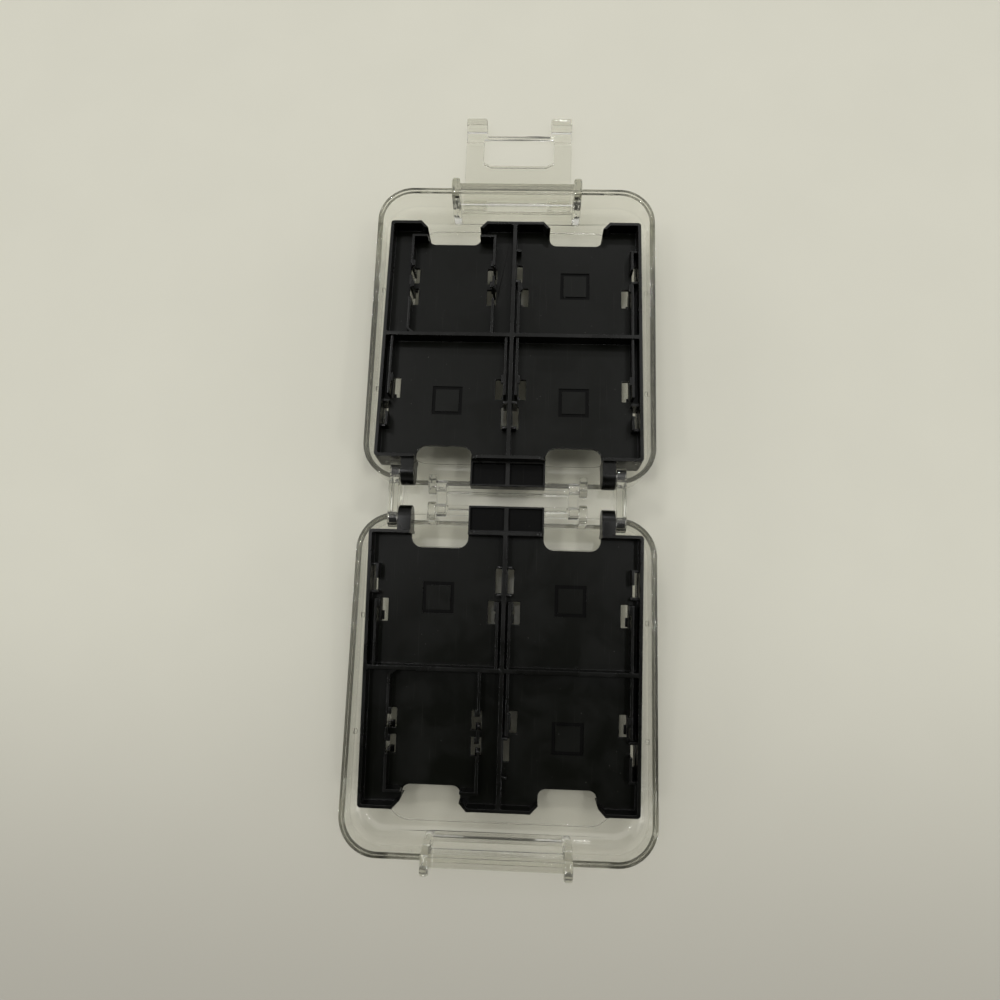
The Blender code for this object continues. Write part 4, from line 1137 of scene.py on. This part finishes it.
def make_floor():
    """The pale table: a wide plane with a faint mottle, and painted shade that darkens it
    towards the near edge.
    """
    bpy.ops.object.select_all(action="DESELECT")
    bpy.ops.mesh.primitive_plane_add(size=TABLE_SIZE, location=(0.0, 0.0, 0.0))
    floor = bpy.context.active_object
    floor.name = "table"
    material, nodes, links, shader = new_material("pale_table")
    shader.inputs["Roughness"].default_value = 0.6
    shader.inputs["Specular IOR Level"].default_value = 0.15
    place_node = nodes.new("ShaderNodeTexCoord")
    mottle = add_noise(nodes, scale=35.0, detail=3.0)
    tone = add_mix(nodes, *TABLE_TONES)
    links.new(place_node.outputs["Object"], mottle.inputs["Vector"])
    links.new(mottle.outputs["Fac"], tone.inputs["Factor"])
    split = nodes.new("ShaderNodeSeparateXYZ")
    near = add_range(nodes, *NEAR_SPAN, to_low=1.0, to_high=0.0)
    near.interpolation_type = "SMOOTHSTEP"
    # Painted shade: the table's colour darkens towards the near edge
    painted_shade = add_mix(nodes, second=NEAR_PAINTED_SHADE)
    links.new(place_node.outputs["Object"], split.inputs["Vector"])
    links.new(split.outputs["Y"], near.inputs["Value"])
    links.new(near.outputs["Result"], painted_shade.inputs["Factor"])
    links.new(tone.outputs["Result"], painted_shade.inputs["A"])
    links.new(painted_shade.outputs["Result"], shader.inputs["Base Color"])
    floor.data.materials.append(material)


def add_tube(name, location, power):
    """A long area lamp that faces the middle of the case."""
    lamp = bpy.data.lights.new(name, "AREA")
    lamp.shape = "RECTANGLE"
    lamp.size = TUBE_LENGTH
    lamp.size_y = TUBE_WIDTH
    lamp.energy = power
    holder = bpy.data.objects.new(name, lamp)
    bpy.context.scene.collection.objects.link(holder)
    holder.location = location
    aim = Vector((0.0, HINGE_Y, 0.0)) - Vector(location)
    holder.rotation_euler = aim.to_track_quat("-Z", "Y").to_euler()


def light_scene():
    """A pale room with bright sides that is dim overhead, and seven ceiling tubes."""
    world = bpy.data.worlds.new("room")
    bpy.context.scene.world = world
    world.use_nodes = True
    nodes, links = world.node_tree.nodes, world.node_tree.links
    direction = nodes.new("ShaderNodeTexCoord")
    split = nodes.new("ShaderNodeSeparateXYZ")
    ramp = nodes.new("ShaderNodeValToRGB")
    stops = ramp.color_ramp.elements
    stops[0].color = ROOM_BELOW
    stops[1].color = ROOM_ABOVE
    for position, level in ROOM_LEVELS:
        stop = stops.new(position)
        stop.color = (*(level * share for share in ROOM_TINT), 1.0)
    links.new(direction.outputs["Generated"], split.inputs["Vector"])
    links.new(split.outputs["Z"], ramp.inputs["Fac"])

    sideways = add_math(nodes, "ABSOLUTE")
    bright = add_range(nodes, *SIDE_RANGE)
    bright.interpolation_type = "SMOOTHSTEP"
    glow = add_mix(nodes, second=SIDE_GLOW)
    glow.blend_type = "ADD"
    links.new(split.outputs["X"], sideways.inputs[0])
    links.new(sideways.outputs["Value"], bright.inputs["Value"])
    links.new(bright.outputs["Result"], glow.inputs["Factor"])
    links.new(ramp.outputs["Color"], glow.inputs["A"])

    toward = nodes.new("ShaderNodeVectorMath")
    toward.operation = "DOT_PRODUCT"
    toward.inputs[1].default_value = Vector(DIM_TOWARD).normalized()
    dim = add_range(nodes, *DIM_RANGE, to_low=1.0, to_high=DIM_STRENGTH)
    dim.interpolation_type = "SMOOTHSTEP"
    links.new(direction.outputs["Generated"], toward.inputs[0])
    links.new(toward.outputs["Value"], dim.inputs["Value"])
    links.new(glow.outputs["Result"], nodes["Background"].inputs["Color"])
    links.new(dim.outputs["Result"], nodes["Background"].inputs["Strength"])
    for number, (x, y, z, power) in enumerate(CEILING_TUBES, 1):
        add_tube("ceiling_tube_%d" % number, (x, y, z), power)


def set_light_paths():
    """Let light cross the many clear walls, and leave out noisy caustics."""
    cycles = bpy.context.scene.cycles
    cycles.max_bounces = 32
    cycles.glossy_bounces = 24
    cycles.transmission_bounces = 28
    cycles.transparent_max_bounces = 32
    cycles.caustics_reflective = False
    cycles.caustics_refractive = False
    bpy.context.scene.view_settings.view_transform = "Standard"


def add_camera():
    """A camera nearly straight above the open case."""
    camera = bpy.data.cameras.new("camera")
    camera.lens = CAMERA_LENS
    camera.sensor_width = CAMERA_SENSOR
    camera.clip_start = CAMERA_NEAR
    holder = bpy.data.objects.new("camera", camera)
    bpy.context.scene.collection.objects.link(holder)
    holder.location = CAMERA_PLACE
    holder.rotation_euler = CAMERA_TURN
    bpy.context.scene.camera = holder


add_camera()
set_light_paths()
marks = handling_marks()
clear = clear_plastic(marks)
blacks = [black_plastic(marks, *finish) for finish in BLACK_FINISHES]

to_hinge = Matrix.Translation((0.0, HINGE_Y, 0.0))
half_turn = Matrix.Rotation(math.pi, 4, "Z")

upper_shell = finished(make_shell())
lower_shell = copy_of(upper_shell)
place(upper_shell, "upper_shell_clear", [clear], "upper_shell", to_hinge)
place(lower_shell, "lower_shell_clear", [clear], "lower_shell",
      to_hinge @ half_turn)

spine = finished(make_spine())
place(spine, "spine_clear", [clear], "spine", to_hinge)

upper_tray = finished(make_tray())
finishes = tray_finishes(upper_tray)
lower_tray = copy_of(upper_tray)
to_upper_pins = Matrix.Translation((0.0, HINGE_Y + PIN_Y, PIN_Z))
to_upper_pins = to_upper_pins @ Matrix.Rotation(-UPPER_TILT, 4, "X")
to_lower_pins = Matrix.Translation((0.0, HINGE_Y - PIN_Y, PIN_Z))
to_lower_pins = to_lower_pins @ Matrix.Rotation(math.pi + LOWER_TILT, 4, "X")
place(upper_tray, "upper_tray_black", blacks, "upper_tray",
      to_upper_pins, finishes)
place(lower_tray, "lower_tray_black", blacks, "lower_tray",
      to_lower_pins, finishes)

latch = finished(make_latch())
place(latch, "latch_clear", [clear], "latch", to_hinge)

make_floor()
light_scene()
